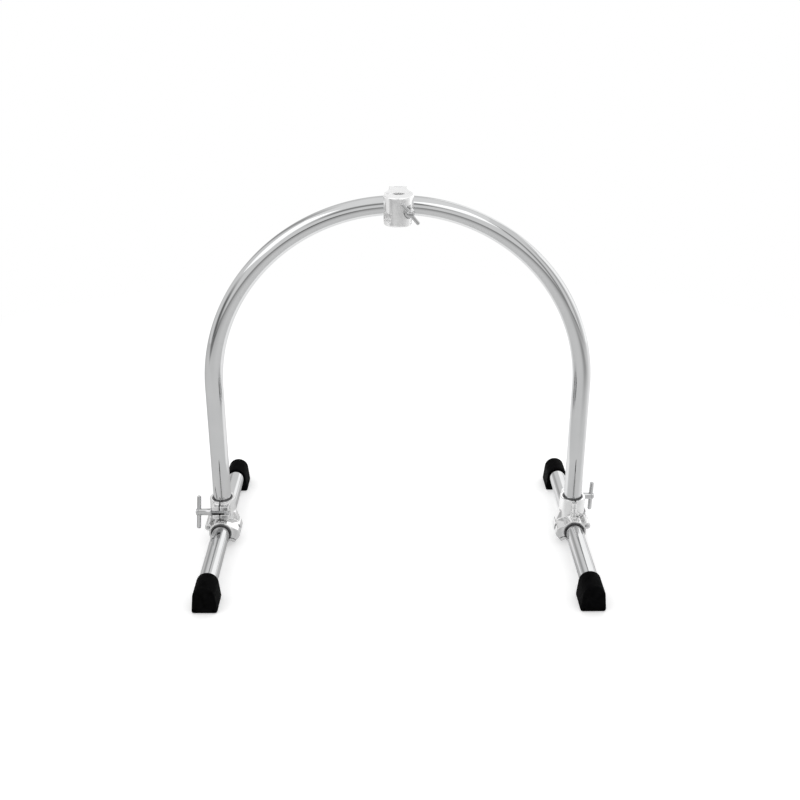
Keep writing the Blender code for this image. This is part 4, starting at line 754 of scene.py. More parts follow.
def make_boot(side, front, node):
    """A rubber boot over one end of a leg; front is -1 or 1 along Y."""
    place = Matrix.Translation((side * ARC_RADIUS, 0, LEG_AXIS_HEIGHT))
    section = boot_outline()
    mouth = front * (LEG_HALF_LENGTH - FOOT_LENGTH)
    tip = front * LEG_HALF_LENGTH

    def ring(at, inset):
        return [place @ Vector((point.x - normal.x * inset, at, point.y - normal.y * inset))
                for point, normal in section]

    def hole(at, radius):
        return [place @ Vector((radius * cos(angle), at, radius * sin(angle)))
                for angle in (atan2(point.y, point.x) for point, _ in section)]

    stop = front * (LEG_HALF_LENGTH - FOOT_END_WALL + CLEARANCE)
    rings = [hole(stop, BUSH_BORE), hole(mouth + front * MOUTH_EASE, BUSH_BORE),
             hole(mouth, BUSH_BORE + MOUTH_EASE)]
    arc = [pi / 2 * step / CORNER_STEPS for step in range(CORNER_STEPS + 1)]
    lip = FOOT_WALL - MOUTH_FLAT
    rings += [ring(mouth + front * lip * (1 - cos(angle)), lip * (1 - sin(angle)))
              for angle in arc]
    rings += [ring(tip - front * FOOT_ROUNDING * (1 - sin(angle)), FOOT_ROUNDING * (1 - cos(angle)))
              for angle in arc]
    rim = FOOT_ROUNDING + END_RIM
    rings += [ring(tip, rim), ring(tip - front * END_RECESS, rim + END_SLOPE)]
    boot = loft("boot", rings)
    middle = (mouth + tip) / 2
    for count in (-1, 0, 1):
        centre = middle + count * TREAD_PITCH
        cut(boot, block(place, (-FAR, centre - TREAD_WIDTH / 2, -FAR),
                        (FAR, centre + TREAD_WIDTH / 2, TREAD_DEPTH - LEG_AXIS_HEIGHT)))
    piece(boot, node, "rubber")


def make_leg(side):
    end = LEG_HALF_LENGTH - FOOT_END_WALL
    centres = [(side * ARC_RADIUS, -end + 2 * end * step / LEG_STEPS, LEG_AXIS_HEIGHT)
               for step in range(LEG_STEPS + 1)]
    tube = hollow_tube("leg", centres, [(0, 0, 1)] * len(centres), (1, 0, 0))
    piece(tube, name_of(side, "leg_tube"), "tube")
    make_boot(side, -1, name_of(side, "front_foot"))
    make_boot(side, 1, name_of(side, "rear_foot"))


# Leg clamps

def name_of(side, node):
    return ("left_" if side < 0 else "right_") + node


def leg_frame(side):
    """On the leg's axis under the arch's end, with +X inboard on both sides."""
    place = Matrix.Translation((side * ARC_RADIUS, ARCH_OFFSET, LEG_AXIS_HEIGHT))
    return place @ Matrix.Diagonal((-side, 1, 1, 1))


def collar_frame(side):
    """On the floor under the arch's end; the right collar is turned half round."""
    place = Matrix.Translation((side * ARC_RADIUS, ARCH_OFFSET, 0))
    return place @ Matrix.Rotation(0 if side < 0 else pi, 4, "Z")


def split_point(reach, drop):
    """A point in the sleeve's section: reach along its split, drop across it."""
    return (reach * cos(SPLIT_TILT) - drop * sin(SPLIT_TILT),
            -reach * sin(SPLIT_TILT) - drop * cos(SPLIT_TILT))


def on_lug_bolt(drop):
    """The point on the sleeve bolt's axis at a distance below the split."""
    x, z = split_point(LUG_BOLT_REACH, drop)
    return x, -LUG_BOLT_FORWARD, z


def half_plane(leg, start, side):
    """A cutter for all on one side of the sleeve's split, side 1 for below."""
    corners = [split_point(-FAR, start), split_point(FAR, start),
               split_point(FAR, side * FAR), split_point(-FAR, side * FAR)]
    return plate(leg, corners, -FAR, FAR, "Y")


def leg_hinge(front, rear):
    """Ends of a stretch of the sleeve's hinge axis, from front to rear."""
    x, z = split_point(-LEG_HINGE_REACH, 0)
    return (x, -front, z), (x, -rear, z)


def leg_knuckle(leg, front, rear, extra=0.0):
    """A length of the sleeve's hinge barrel."""
    return rod(leg, *leg_hinge(front, rear), LEG_KNUCKLE_RADIUS + extra)


def leg_pin_hole(leg):
    return rod(leg, *leg_hinge(FAR, -FAR), snug(LEG_PIN_RADIUS), SMALL_SIDES)


def sleeve(leg):
    return rod(leg, (0, -SLEEVE_FRONT, 0), (0, SLEEVE_REAR, 0), SLEEVE_RADIUS)


def leg_bore(leg):
    return rod(leg, (0, -FAR, 0), (0, FAR, 0), COLLAR_BORE)


def upright_hole(frame_at, at, low=-FAR, radius=PIN_BORE, sides=SMALL_SIDES):
    """A hole along Z, from a height upwards."""
    return rod(frame_at, (*at, low), (*at, FAR), radius, sides)


def snug(radius):
    return radius + CLEARANCE


def make_sleeve_jaw(side):
    """The lower half of the sleeve, hinged on its outboard side."""
    leg = leg_frame(side)
    jaw = sleeve(leg)
    lug = rounded([split_point(*point) for point in JAW_LUG], JAW_LUG_BENDS)
    join(jaw, plate(leg, lug, -SLEEVE_FRONT + JAW_LUG_SETBACK, LUG_REAR, "Y"))
    cut(jaw, half_plane(leg, HALF_GAP, -1))
    join(jaw, leg_knuckle(leg, LEG_KNUCKLE_FRONT - CLEARANCE, LEG_KNUCKLE_REAR + CLEARANCE))
    cut(jaw, leg_knuckle(leg, FAR, LEG_KNUCKLE_FRONT, CLEARANCE),
        leg_knuckle(leg, LEG_KNUCKLE_REAR, -FAR, CLEARANCE), leg_bore(leg))
    inner, (above, below) = LUG_BOLT_REACH - HALF_KEY_SLOT, KEY_SLOT_SPAN
    opening = [split_point(inner, above), split_point(FAR, above),
               split_point(FAR, below), split_point(inner, below)]
    cut(jaw, plate(leg, opening, -LUG_BOLT_FORWARD - HALF_KEY_SLOT,
                   -LUG_BOLT_FORWARD + HALF_KEY_SLOT, "Y"), leg_pin_hole(leg))
    piece(cast(jaw), name_of(side, "sleeve_jaw"), "cast", False)


def ear_outline(low_x, high_x, round_low):
    """Plan of a front ear, with its outer front corner rounded for the bolt's swing."""
    front = -BOLT_REACH - EAR_DEPTH
    back = -COLLAR_BORE * EAR_ROOT
    corners = [(low_x, back), (low_x, front), (high_x, front), (high_x, back)]
    bends = [0, EAR_ROUNDING, 0, 0] if round_low else [0, 0, EAR_ROUNDING, 0]
    return rounded(corners, bends)


def fork_slot(frame_at, middle, start=-FAR, back=FAR):
    """The slot in which a swing bolt lies, with its inner side and its back."""
    return block(frame_at, (start, -FAR, middle - HALF_FORK), (FAR, back, middle + HALF_FORK))


def collar_slot(collar):
    return fork_slot(collar, COLLAR_MIDDLE, back=-BOLT_REACH + EYE_RADIUS + CLEARANCE)


def knuckle(frame_at, hinge, low, high, extra=0.0):
    """A length of an upright hinge barrel."""
    return rod(frame_at, (*hinge, low), (*hinge, high), KNUCKLE_RADIUS + extra)


def knuckle_web(collar, low, high, side):
    """Fills the corner between hinge barrel and ring; side -1 is the jaw's."""
    wide = KNUCKLE_RADIUS + KNUCKLE_SUNK
    inner = COLLAR_BORE - PAST
    edge = -SPLIT_OFFSET + side * (HALF_GAP + CASTING_STEP)
    fill = [(edge, inner), (side * wide, inner), (side * WEB_WIDTH, HINGE_REACH + WEB_RISE[0]),
            (edge, HINGE_REACH + WEB_RISE[1])]
    return plate(collar, fill, low + CASTING_STEP, high - CASTING_STEP)


def make_clamp_body(side):
    """Casting of a leg clamp: back half of the collar, upper half of the sleeve."""
    leg, collar = leg_frame(side), collar_frame(side)
    body = rod(collar, (0, 0, LEG_AXIS_HEIGHT + COLLAR_ROOT), (0, 0, COLLAR_TOP), COLLAR_RADIUS)
    ear = ear_outline(-SPLIT_OFFSET, PIVOT_OFFSET + EYE_RADIUS + EAR_OVERHANG, False)
    join(body, plate(collar, ear, EAR_LOW, EAR_HIGH))
    cut(body, block(collar, (-FAR, -FAR, COLLAR_FLOOR), (BODY_SPLIT, FAR, FAR)))
    join(body, sleeve(leg))
    lug = [*(split_point(*point) for point in BODY_LUG), BODY_LUG_ROOT]
    join(body, plate(leg, rounded(lug, BODY_LUG_BENDS), -SLEEVE_FRONT + BODY_LUG_SETBACK,
                     LUG_REAR, "Y"))
    join(body, plate(leg, rounded(GUSSET, GUSSET_BENDS), GUSSET_FRONT,
                     LUG_REAR - 2 * CASTING_STEP, "Y"))
    cut(body, half_plane(leg, -HALF_GAP, 1))
    seat = COLLAR_RADIUS + 2 * CLEARANCE
    cut(body, block(collar, (-FAR, -seat, COLLAR_FLOOR - CASTING_STEP),
                    (BODY_SPLIT - CASTING_STEP, seat, FAR)))
    join(body, leg_knuckle(leg, SLEEVE_FRONT, LEG_KNUCKLE_FRONT + CLEARANCE),
         leg_knuckle(leg, LEG_KNUCKLE_REAR - CLEARANCE, -SLEEVE_REAR))
    cut(body, leg_knuckle(leg, LEG_KNUCKLE_FRONT, LEG_KNUCKLE_REAR, CLEARANCE))
    add_collar_hinge(body, collar)
    cut(body, collar_slot(collar), upright_hole(collar, BOLT_PIVOT, EAR_LOW - PAST),
        upright_hole(collar, (0, 0), COLLAR_FLOOR, COLLAR_BORE, ROUND_SIDES), leg_bore(leg),
        leg_pin_hole(leg))
    through, beyond = (on_lug_bolt(drop) for drop in LUG_BOLT_SPAN)
    cut(body, rod(leg, through, beyond, snug(KEY_BOLT_RADIUS), SMALL_SIDES),
        rod(leg, on_lug_bolt(KEY_NUT_HEIGHT - BODY_LUG_TOP), beyond,
            KEY_NUT_RADIUS + 2 * CLEARANCE))
    piece(cast(body), name_of(side, "clamp_body"), "cast", False)


def add_collar_hinge(body, collar):
    """The body's two hinge barrels with the gap for the jaw's between them."""
    sunk, top = COLLAR_FLOOR - KNUCKLE_SUNK, COLLAR_TOP - KNUCKLE_TOP
    for low, high in ((sunk, HINGE_LOW), (HINGE_HIGH, top)):
        join(body, knuckle(collar, COLLAR_HINGE, low, high), knuckle_web(collar, low, high, 1))
    cut(body, knuckle(collar, COLLAR_HINGE, HINGE_LOW, HINGE_HIGH, KNUCKLE_CLEARANCE),
        upright_hole(collar, COLLAR_HINGE, COLLAR_FLOOR + PIN_FLOOR - CLEARANCE))


def make_upright_jaw(side):
    """The hinged outboard half of the collar round an end of the arch."""
    collar = collar_frame(side)
    jaw = rod(collar, (0, 0, COLLAR_FLOOR + CLEARANCE), (0, 0, COLLAR_TOP), COLLAR_RADIUS)
    join(jaw, plate(collar, ear_outline(JAW_SPLIT - EAR_LENGTH, -SPLIT_OFFSET, True),
                    EAR_LOW, EAR_HIGH))
    cut(jaw, block(collar, (JAW_SPLIT, -FAR, -FAR), (FAR, FAR, FAR)))
    low, high = HINGE_LOW + CLEARANCE, HINGE_HIGH - CLEARANCE
    join(jaw, knuckle(collar, COLLAR_HINGE, low, high), knuckle_web(collar, low, high, -1))
    cut(jaw, knuckle(collar, COLLAR_HINGE, -FAR, HINGE_LOW, KNUCKLE_CLEARANCE),
        knuckle(collar, COLLAR_HINGE, HINGE_HIGH, FAR, KNUCKLE_CLEARANCE), collar_slot(collar),
        upright_hole(collar, (0, 0), -FAR, COLLAR_BORE, ROUND_SIDES),
        upright_hole(collar, COLLAR_HINGE))
    piece(cast(jaw), name_of(side, "upright_jaw"), "cast", False)


def make_pin(frame_at, start, end, node, radius=HINGE_PIN_RADIUS):
    """A hinge pin with slightly rounded ends."""
    length = (Vector(end) - Vector(start)).length
    tip = dome(radius, length, radius * PIN_ROUNDING)
    profile = tip + [(width, length - height) for width, height in reversed(tip)]
    piece(turned(frame_at, start, end, profile, SMALL_SIDES), node, "steel")


def upright_pin(frame_at, at, low, high, node):
    make_pin(frame_at, (*at, low), (*at, high), node)


def make_pins(side):
    leg, collar = leg_frame(side), collar_frame(side)
    upright_pin(collar, COLLAR_HINGE, COLLAR_FLOOR + PIN_FLOOR, COLLAR_TOP + PIN_PROUD,
                name_of(side, "upright_hinge_pin"))
    upright_pin(collar, BOLT_PIVOT, EAR_LOW - CASTING_STEP, EAR_HIGH + PIN_PROUD,
                name_of(side, "bolt_pivot_pin"))
    make_pin(leg, *leg_hinge(SLEEVE_FRONT + LEG_PIN_PROUD, -SLEEVE_REAR - LEG_PIN_PROUD),
             name_of(side, "sleeve_hinge_pin"), LEG_PIN_RADIUS)


def swing_bolt(frame_at, pivot_at, tip, node):
    """An eye bolt from its upright pivot to its tip, threaded over its outer part."""
    pivot_at, up = Vector(pivot_at), Vector((0, 0, 1))
    half = up * (EYE_HEIGHT / 2)
    along = (tip - pivot_at).normalized()
    neck = pivot_at + along * (EYE_RADIUS + NECK_LENGTH)
    eye = rod(frame_at, pivot_at - half, pivot_at + half, EYE_RADIUS)
    join(eye, rod(frame_at, pivot_at + along * HINGE_PIN_RADIUS, neck + along * NECK_OVERLAP,
                  BOLT_RADIUS - THREAD_PITCH * THREAD_CORE, SMALL_SIDES),
         thread(frame_at, neck, tip, BOLT_RADIUS))
    cut(eye, rod(frame_at, pivot_at - up * FAR, pivot_at + up * FAR, PIN_BORE, SMALL_SIDES))
    piece(eye, node, "steel")


def washer(frame_at, start, along, bore, radius, thickness, node):
    """A flat washer with its rim eased."""
    ease = thickness * WASHER_EASE
    profile = [(radius, thickness - ease), (radius, ease), (radius - ease, 0), (bore, 0),
               (bore, thickness), (radius - ease, thickness)]
    piece(turned(frame_at, start, start + along, profile, SMALL_SIDES), node, "steel")


def t_handle(frame_at, start, along, length, bar, across, nodes):
    """A T-nut and its cross bar; bar holds the bar's radius, length and end distance."""
    across = Vector(across)
    bar_radius, bar_length, from_end = bar
    bore = snug(BOLT_RADIUS)
    depth = length - from_end - bar_radius - NUT_FLOOR
    profile = dome(NUT_WAIST, length, NUT_ROUNDING)
    profile += [(radius, length - below) for radius, below in NUT_BEAD]
    profile += [(NUT_WAIST, length * NUT_TAPER), *NUT_FOOT, (bore, 0), (bore, depth), (0, depth)]
    nut = turned(frame_at, start, start + along, profile, ROUND_SIDES)
    centre = start + along * (length - from_end)
    cut(nut, rod(frame_at, centre - across * FAR, centre + across * FAR,
                 bar_radius + CLEARANCE / 2, SMALL_SIDES))
    piece(nut, nodes[0], "turned")
    half = bar_length / 2
    ends = dome(bar_radius, bar_length, bar_radius * BAR_ROUNDING)
    ends += [(radius, bar_length - height) for radius, height in reversed(ends)]
    cross = turned(frame_at, centre - across * half, centre + across * half, ends, SMALL_SIDES)
    piece(cross, nodes[1], "turned")


def swing_handle(frame_at, pivot_at, face, outward, length, bar, across, nodes):
    """Swing bolt, washer and T-handle; face is where the washer bears."""
    face, outward = Vector(face), Vector(outward)
    nut_at = face + outward * (WASHER_THICKNESS + CLEARANCE)
    reach = length - bar[2] - bar[0] - BOLT_END_GAP
    swing_bolt(frame_at, pivot_at, nut_at + outward * reach, nodes[0])
    washer(frame_at, face, outward, snug(BOLT_RADIUS), NUT_RADIUS, WASHER_THICKNESS, nodes[1])
    t_handle(frame_at, nut_at, outward, length, bar, across, nodes[2:])


def capped(frame_at, start, along, radius, height, drop):
    """A turned body with a domed end, to keep a square or six-sided one inside."""
    profile = dome(radius, height, drop) + [(radius, 0), (0, 0)]
    return turned(frame_at, start, start + along, profile, SMALL_SIDES)


def key_bolt(frame_at, start, along, tip, nodes, nut_at):
    """A square-headed bolt with its washer and nut; start is the washer's bearing face."""
    start, along, tip, nut_at = Vector(start), Vector(along), Vector(tip), Vector(nut_at)
    washer(frame_at, start, along, snug(KEY_BOLT_RADIUS), KEY_WASHER_RADIUS,
           KEY_WASHER_THICKNESS, nodes[0])
    under = start + along * (KEY_WASHER_THICKNESS + CLEARANCE)
    head = rod(frame_at, under, under + along * KEY_HEAD_HEIGHT, KEY_CORNER, 4)
    keep(head, capped(frame_at, under, along, *KEY_HEAD_DOME))
    join(head, thread(frame_at, tip, under + along * KEY_SUNK, KEY_BOLT_RADIUS, KEY_PITCH))
    piece(head, nodes[1], "steel")
    nut = rod(frame_at, nut_at, nut_at - along * KEY_NUT_HEIGHT, KEY_NUT_RADIUS, 6)
    keep(nut, capped(frame_at, nut_at, -along, *KEY_NUT_DOME))
    cut(nut, rod(frame_at, start + along * KEY_REACH, start - along * FAR,
                 snug(KEY_BOLT_RADIUS) - KEY_FIT, SMALL_SIDES))
    piece(nut, nodes[2], "steel")


def bush_profile(length):
    """A liner with a flange at its outer end; heights run inwards from the mouth."""
    lip = BUSH_RADIUS + BUSH_FLANGE
    rim = -CLEARANCE - BUSH_FLANGE_HEIGHT
    top = rim + BUSH_EASE
    return [(BUSH_RADIUS, length), (BUSH_RADIUS, -CLEARANCE), (lip, -CLEARANCE), (lip, top),
            (lip - BUSH_EASE, rim), (BUSH_BORE + BUSH_EASE, rim), (BUSH_BORE, top),
            (BUSH_BORE, length)]


def make_bushes(side):
    """Split nylon liners in the collar and in the sleeve."""
    leg, collar = leg_frame(side), collar_frame(side)
    liner = turned(collar, (0, 0, COLLAR_TOP), (0, 0, 0), bush_profile(COLLAR_HEIGHT - CLEARANCE))
    cut(liner, block(collar, (JAW_SPLIT, -FAR, -FAR), (BODY_SPLIT, 0, FAR)))
    piece(liner, name_of(side, "upright_bush"), "nylon")
    liner = turned(leg, (0, -SLEEVE_FRONT, 0), (0, 0, 0), bush_profile(SLEEVE_FRONT + SLEEVE_REAR))
    slit = [split_point(0, -HALF_GAP), split_point(FAR, -HALF_GAP), split_point(FAR, HALF_GAP),
            split_point(0, HALF_GAP)]
    cut(liner, plate(leg, slit, -FAR, FAR, "Y"))
    piece(liner, name_of(side, "leg_bush"), "nylon")


def make_side_handle(side):
    """Swing bolt, washer and T-handle in the front ears of a collar."""
    tilt = LEFT_BAR_TILT if side < 0 else RIGHT_BAR_TILT
    nodes = [name_of(side, node) for node in ("swing_bolt", "t_nut_washer", "t_nut", "t_bar")]
    swing_handle(collar_frame(side), (*BOLT_PIVOT, COLLAR_MIDDLE),
                 (JAW_SPLIT - EAR_LENGTH - CLEARANCE, -BOLT_REACH, COLLAR_MIDDLE), (-1, 0, 0),
                 NUT_LENGTH, BAR, (0, sin(tilt), cos(tilt)), nodes)


def make_sleeve_bolt(side):
    """The drum-key bolt that closes the sleeve."""
    x, z = split_point(0, 1)
    nodes = [name_of(side, node) for node in ("key_washer", "key_bolt", "key_nut")]
    key_bolt(leg_frame(side), on_lug_bolt(JAW_LUG_END + CLEARANCE), (x, 0, z),
             on_lug_bolt(-BODY_LUG_TOP - PAST), nodes,
             on_lug_bolt(-BODY_LUG_TOP + KEY_NUT_HEIGHT - CLEARANCE))


# Crown clamp

def along_crown(reach, radius, back=0, up=0, sides=ROUND_SIDES):
    """A rod along X through the crown clamp, to a reach or between two."""
    low, high = reach if isinstance(reach, tuple) else (-reach, reach)
    return rod(CROWN, (low, back, up), (high, back, up), radius, sides)


def crown_knuckle(low, high, extra=0.0):
    return along_crown((low, high), CROWN_KNUCKLE_RADIUS + extra, CROWN_HINGE_BACK, CROWN_HINGE_UP)


def crown_pin_hole():
    return along_crown(FAR, PIN_BORE, CROWN_HINGE_BACK, CROWN_HINGE_UP, SMALL_SIDES)


def crown_ear(side):
    """An ear under the arch for the key bolt; side -1 is in front of the tube."""
    near, far = sorted((0, side * (HALF_GAP + CROWN_EAR_THICKNESS)))
    wide = CROWN_EAR_WIDTH / 2
    root, drop = -CROWN_BORE + PAST, CROWN_EAR_DROP + CROWN_EAR_BELOW
    outline = [(-wide, root), (-wide, -drop), (wide, -drop), (wide, root)]
    bends = [0, CROWN_EAR_ROUNDING, CROWN_EAR_ROUNDING, 0]
    return plate(CROWN, rounded(outline, bends), near, far, "Y")


def make_crown_body():
    """Casting between the arch and the post: half a collar on the tube, half a socket."""
    body = plate(CROWN, rounded(CROWN_PLAN, CROWN_PLAN_BENDS), CROWN_BOTTOM, CROWN_TOP)
    join(body, along_crown(CROWN_HALF_WIDTH, CROWN_RADIUS), crown_ear(-1))
    cut(body, block(CROWN, (-FAR, -HALF_GAP, -FAR), (FAR, FAR, FAR)))
    narrow = CROWN_HALF_WIDTH - 2 * CASTING_STEP
    join(body, plate(CROWN, CROWN_SADDLE, -narrow, narrow, "X"),
         crown_knuckle(-CROWN_HALF_WIDTH, CROWN_HALF_WIDTH))
    room = CROWN_KNUCKLE_GAP_AT
    pocket = CROWN_HINGE_BACK - CROWN_KNUCKLE_RADIUS - PAST
    cut(body, block(CROWN, (-room, pocket, -FAR), (room, FAR, FAR)), along_crown(FAR, CROWN_BORE),
        upright_hole(CROWN, POST_AXIS, -FAR, POST_BORE, ROUND_SIDES), crown_pin_hole(),
        rod(CROWN, (0, -FAR, -CROWN_EAR_DROP), (0, FAR, -CROWN_EAR_DROP), snug(KEY_BOLT_RADIUS),
            SMALL_SIDES),
        fork_slot(CROWN, CROWN_MIDDLE, POST_HINGE_SIDE - EYE_RADIUS - POST_ROOM,
                  -POST_PIVOT_REACH + EYE_RADIUS + POST_ROOM),
        upright_hole(CROWN, POST_PIVOT, CROWN_BOTTOM + POST_PIN_FLOOR))
    add_post_hinge(body)
    piece(cast(body), "crown_clamp_body", "crown", False)


def add_post_hinge(body):
    beside, behind, _ = POST_NOTCH
    join(body, knuckle(CROWN, POST_HINGE, CROWN_BOTTOM + CASTING_STEP, POST_LOW),
         knuckle(CROWN, POST_HINGE, POST_HIGH, CROWN_TOP - CASTING_STEP))
    cut(body, knuckle(CROWN, POST_HINGE, POST_LOW, POST_HIGH, KNUCKLE_CLEARANCE),
        block(CROWN, (-FAR, -FAR, POST_LOW + CASTING_STEP),
              (-POST_HINGE_SIDE - beside, -POST_REACH + behind, POST_HIGH - CASTING_STEP)),
        upright_hole(CROWN, POST_HINGE))


def make_post_jaw():
    """The hinged front half of the post socket."""
    jaw = rod(CROWN, (0, -POST_SHELL_REACH, CROWN_BOTTOM), (0, -POST_SHELL_REACH, CROWN_TOP),
              POST_SHELL_RADIUS)
    settle(jaw)
    rim = jaw.modifiers.new("rim", "BEVEL")
    rim.width = POST_RIM_BEVEL
    rim.segments = CORNER_STEPS
    rim.limit_method = "ANGLE"
    rim.angle_limit = POST_RIM_ANGLE
    cut(jaw, block(CROWN, (-FAR, -POST_REACH - HALF_GAP, -FAR), (FAR, FAR, FAR)))
    join(jaw, knuckle(CROWN, POST_HINGE, POST_LOW + CLEARANCE, POST_HIGH - CLEARANCE))
    cut(jaw, knuckle(CROWN, POST_HINGE, -FAR, POST_LOW, KNUCKLE_CLEARANCE),
        knuckle(CROWN, POST_HINGE, POST_HIGH, FAR, KNUCKLE_CLEARANCE))
    beside, _, before = POST_NOTCH
    for edge, end in ((-FAR, POST_LOW - CASTING_STEP), (POST_HIGH + CASTING_STEP, FAR)):
        cut(jaw, block(CROWN, (-FAR, -POST_REACH - before, edge),
                       (-POST_HINGE_SIDE - beside, FAR, end)))
    slot_side = POST_HINGE_SIDE - BOLT_RADIUS - POST_SLOT_ROOM
    seat_side = POST_HINGE_SIDE + POST_SEAT_SHIFT
    cut(jaw, upright_hole(CROWN, POST_AXIS, -FAR, POST_BORE, ROUND_SIDES),
        upright_hole(CROWN, POST_HINGE),
        fork_slot(CROWN, CROWN_MIDDLE, slot_side),
        rod(CROWN, (seat_side, -FAR, CROWN_MIDDLE), (seat_side, -POST_SEAT_REACH, CROWN_MIDDLE),
            POST_SEAT_RADIUS),
        plate(CROWN, POST_RECESS, -FAR, -POST_REACH - POST_RECESS_DEPTH, "Y"))
    piece(cast(jaw), "post_jaw", "crown", False)


def make_arch_jaw():
    """The hinged rear half of the collar on the arch."""
    jaw = along_crown(CROWN_HALF_WIDTH, CROWN_RADIUS)
    join(jaw, crown_ear(1))
    cut(jaw, block(CROWN, (-FAR, -FAR, -FAR), (FAR, HALF_GAP, FAR)),
        plate(CROWN, ARCH_JAW_ROOF, -FAR, FAR, "X"))
    room = CROWN_KNUCKLE_GAP_AT - CLEARANCE
    join(jaw, plate(CROWN, ARCH_JAW_ARM, -room, room, "X"),
         crown_knuckle(-room + 2 * CLEARANCE, room - 2 * CLEARANCE))
    slot_top = -CROWN_EAR_DROP + KEY_BOLT_RADIUS + PAST
    cut(jaw, along_crown(FAR, CROWN_BORE), crown_knuckle(-FAR, -room - CLEARANCE, CLEARANCE),
        crown_knuckle(room + CLEARANCE, FAR, CLEARANCE), crown_pin_hole(),
        block(CROWN, (-HALF_KEY_SLOT, -FAR, -FAR), (HALF_KEY_SLOT, FAR, slot_top)))
    piece(cast(jaw), "arch_jaw", "cast", False)


def make_arch_bush():
    """Liner between arch and crown clamp: curved inside, straight outside."""
    liner = along_crown(CROWN_HALF_WIDTH - CLEARANCE, CROWN_BUSH_RADIUS)
    run = []
    for step in range(BUSH_STEPS + 1):
        angle = -BUSH_TURN + 2 * BUSH_TURN * step / BUSH_STEPS
        outward = Vector((sin(angle), 0, cos(angle)))
        centre = CROWN @ (outward * ARC_RADIUS - Vector((0, 0, ARC_RADIUS)))
        run.append(circle(centre, outward, Vector((0, 1, 0)), CROWN_BUSH_BORE))
    cut(liner, loft("run", run), block(CROWN, (-FAR, -HALF_GAP, -FAR), (FAR, HALF_GAP, 0)))
    piece(liner, "arch_bush", "nylon")


def make_crown_handle():
    """Swing bolt, washer and T-handle of the post socket."""
    swing_handle(CROWN, (*POST_PIVOT, CROWN_MIDDLE),
                 (POST_HINGE_SIDE, -POST_SEAT_REACH - CLEARANCE, CROWN_MIDDLE), (0, -1, 0),
                 POST_NUT_LENGTH, POST_BAR, (cos(POST_BAR_TILT), 0, sin(POST_BAR_TILT)),
                 ("post_swing_bolt", "post_t_nut_washer", "post_t_nut", "post_t_bar"))


def make_crown_fasteners():
    start = Vector((0, HALF_GAP + CROWN_EAR_THICKNESS + CLEARANCE, -CROWN_EAR_DROP))
    nut_at = Vector((0, -start.y, start.z))
    tip = nut_at - Vector((0, KEY_NUT_HEIGHT + CROWN_KEY_TIP, 0))
    key_bolt(CROWN, start, (0, 1, 0), tip, ("arch_key_washer", "arch_key_bolt", "arch_key_nut"),
             nut_at)
    end = CROWN_HALF_WIDTH + PIN_PROUD
    make_pin(CROWN, (-end, CROWN_HINGE_BACK, CROWN_HINGE_UP),
             (end, CROWN_HINGE_BACK, CROWN_HINGE_UP), "arch_jaw_hinge_pin")
    upright_pin(CROWN, POST_HINGE, CROWN_BOTTOM, CROWN_TOP, "post_jaw_hinge_pin")
    upright_pin(CROWN, POST_PIVOT, CROWN_BOTTOM + POST_PIN_FLOOR + POST_PIN_LIFT, CROWN_TOP,
                "post_bolt_pivot_pin")


# Studio

def studio_floor():
    """A light floor that stays white to the camera and keeps the object's shadow; other rays see
    painted shade in its colour, and reflections see a painted glow towards the back right.
    """
    shape = bmesh.new()
    bmesh.ops.create_grid(shape, x_segments=1, y_segments=1, size=FLOOR_REACH)
    floor = guide(shape, "floor")
    made, tree, shader = material("floor", {"Roughness": 0.9, "Specular IOR Level": 0.0})
    plain = shader.outputs["BSDF"]
    place = add(tree, "TexCoord").outputs["Object"]
    to_camera = add(tree, "LightPath").outputs["Is Camera Ray"]
    split = add(tree, "SeparateXYZ", {"Vector": place}).outputs
    near, far = FLOOR_PAINTED_SHADE_SPAN
    # painted shade: for all but camera rays the floor's colour darkens from near to far in front
    # and in two patches
    painted_shade_level = spread(tree, split["Y"], 1, FLOOR_PAINTED_SHADE_GREY, -near, -far)
    for across, along, soft, grey in FLOOR_PAINTED_SHADE_PATCHES:
        inside = times(tree, within(tree, split["X"], *across, soft),
                       within(tree, split["Y"], *along, soft))
        painted_shade_level = times(tree, painted_shade_level, spread(tree, inside, 1, grey, 0, 1))
    painted_shade_level = math_node(tree, "MAXIMUM", painted_shade_level, to_camera)
    white = tint(tree, painted_shade_level, (0, 0, 0), [FLOOR_WHITE] * 3, 0, 1)
    tree.links.new(white, shader.inputs["Base Color"])
    away = add(tree, "VectorMath", {0: place}, operation="LENGTH").outputs["Value"]
    lifted = add(tree, "AddShader", {0: plain, 1: glow(tree, FLOOR_GLOW)}).outputs["Shader"]
    camera_floor = mixed(tree, spread(tree, away, 0, 1, *FLOOR_FADE), lifted, glow(tree, 1.0))
    # painted light: reflections see a glow added to the floor towards the back right
    heading = add(tree, "VectorMath", {0: place}, operation="NORMALIZE").outputs["Vector"]
    towards = add(tree, "VectorMath", {0: heading, 1: FLOOR_PAINTED_GLOW_WAY}, operation="DOT_PRODUCT")
    painted_glow = spread(tree, towards.outputs["Value"], 0, FLOOR_PAINTED_GLOW_STRENGTH, *FLOOR_PAINTED_GLOW_SPAN)
    floor_with_painted_glow = add(tree, "AddShader", {0: plain, 1: glow(tree, painted_glow)}).outputs["Shader"]
    seen = mixed(tree, to_camera, floor_with_painted_glow, camera_floor)
    shown = mixed(tree, seen_rays(tree), plain, seen)
    tree.links.new(shown, tree.nodes["Material Output"].inputs["Surface"])
    floor.data.materials.append(made)


def glow(tree, strength):
    return add(tree, "Emission", {"Color": (1, 1, 1, 1), "Strength": strength}).outputs["Emission"]


def mixed(tree, part, first, second):
    """The first shader where part is 0, the second where it is 1."""
    return add(tree, "MixShader", {"Fac": part, 1: first, 2: second}).outputs["Shader"]


def math_node(tree, operation, *values):
    return add(tree, "Math", enumerate(values), operation=operation).outputs["Value"]


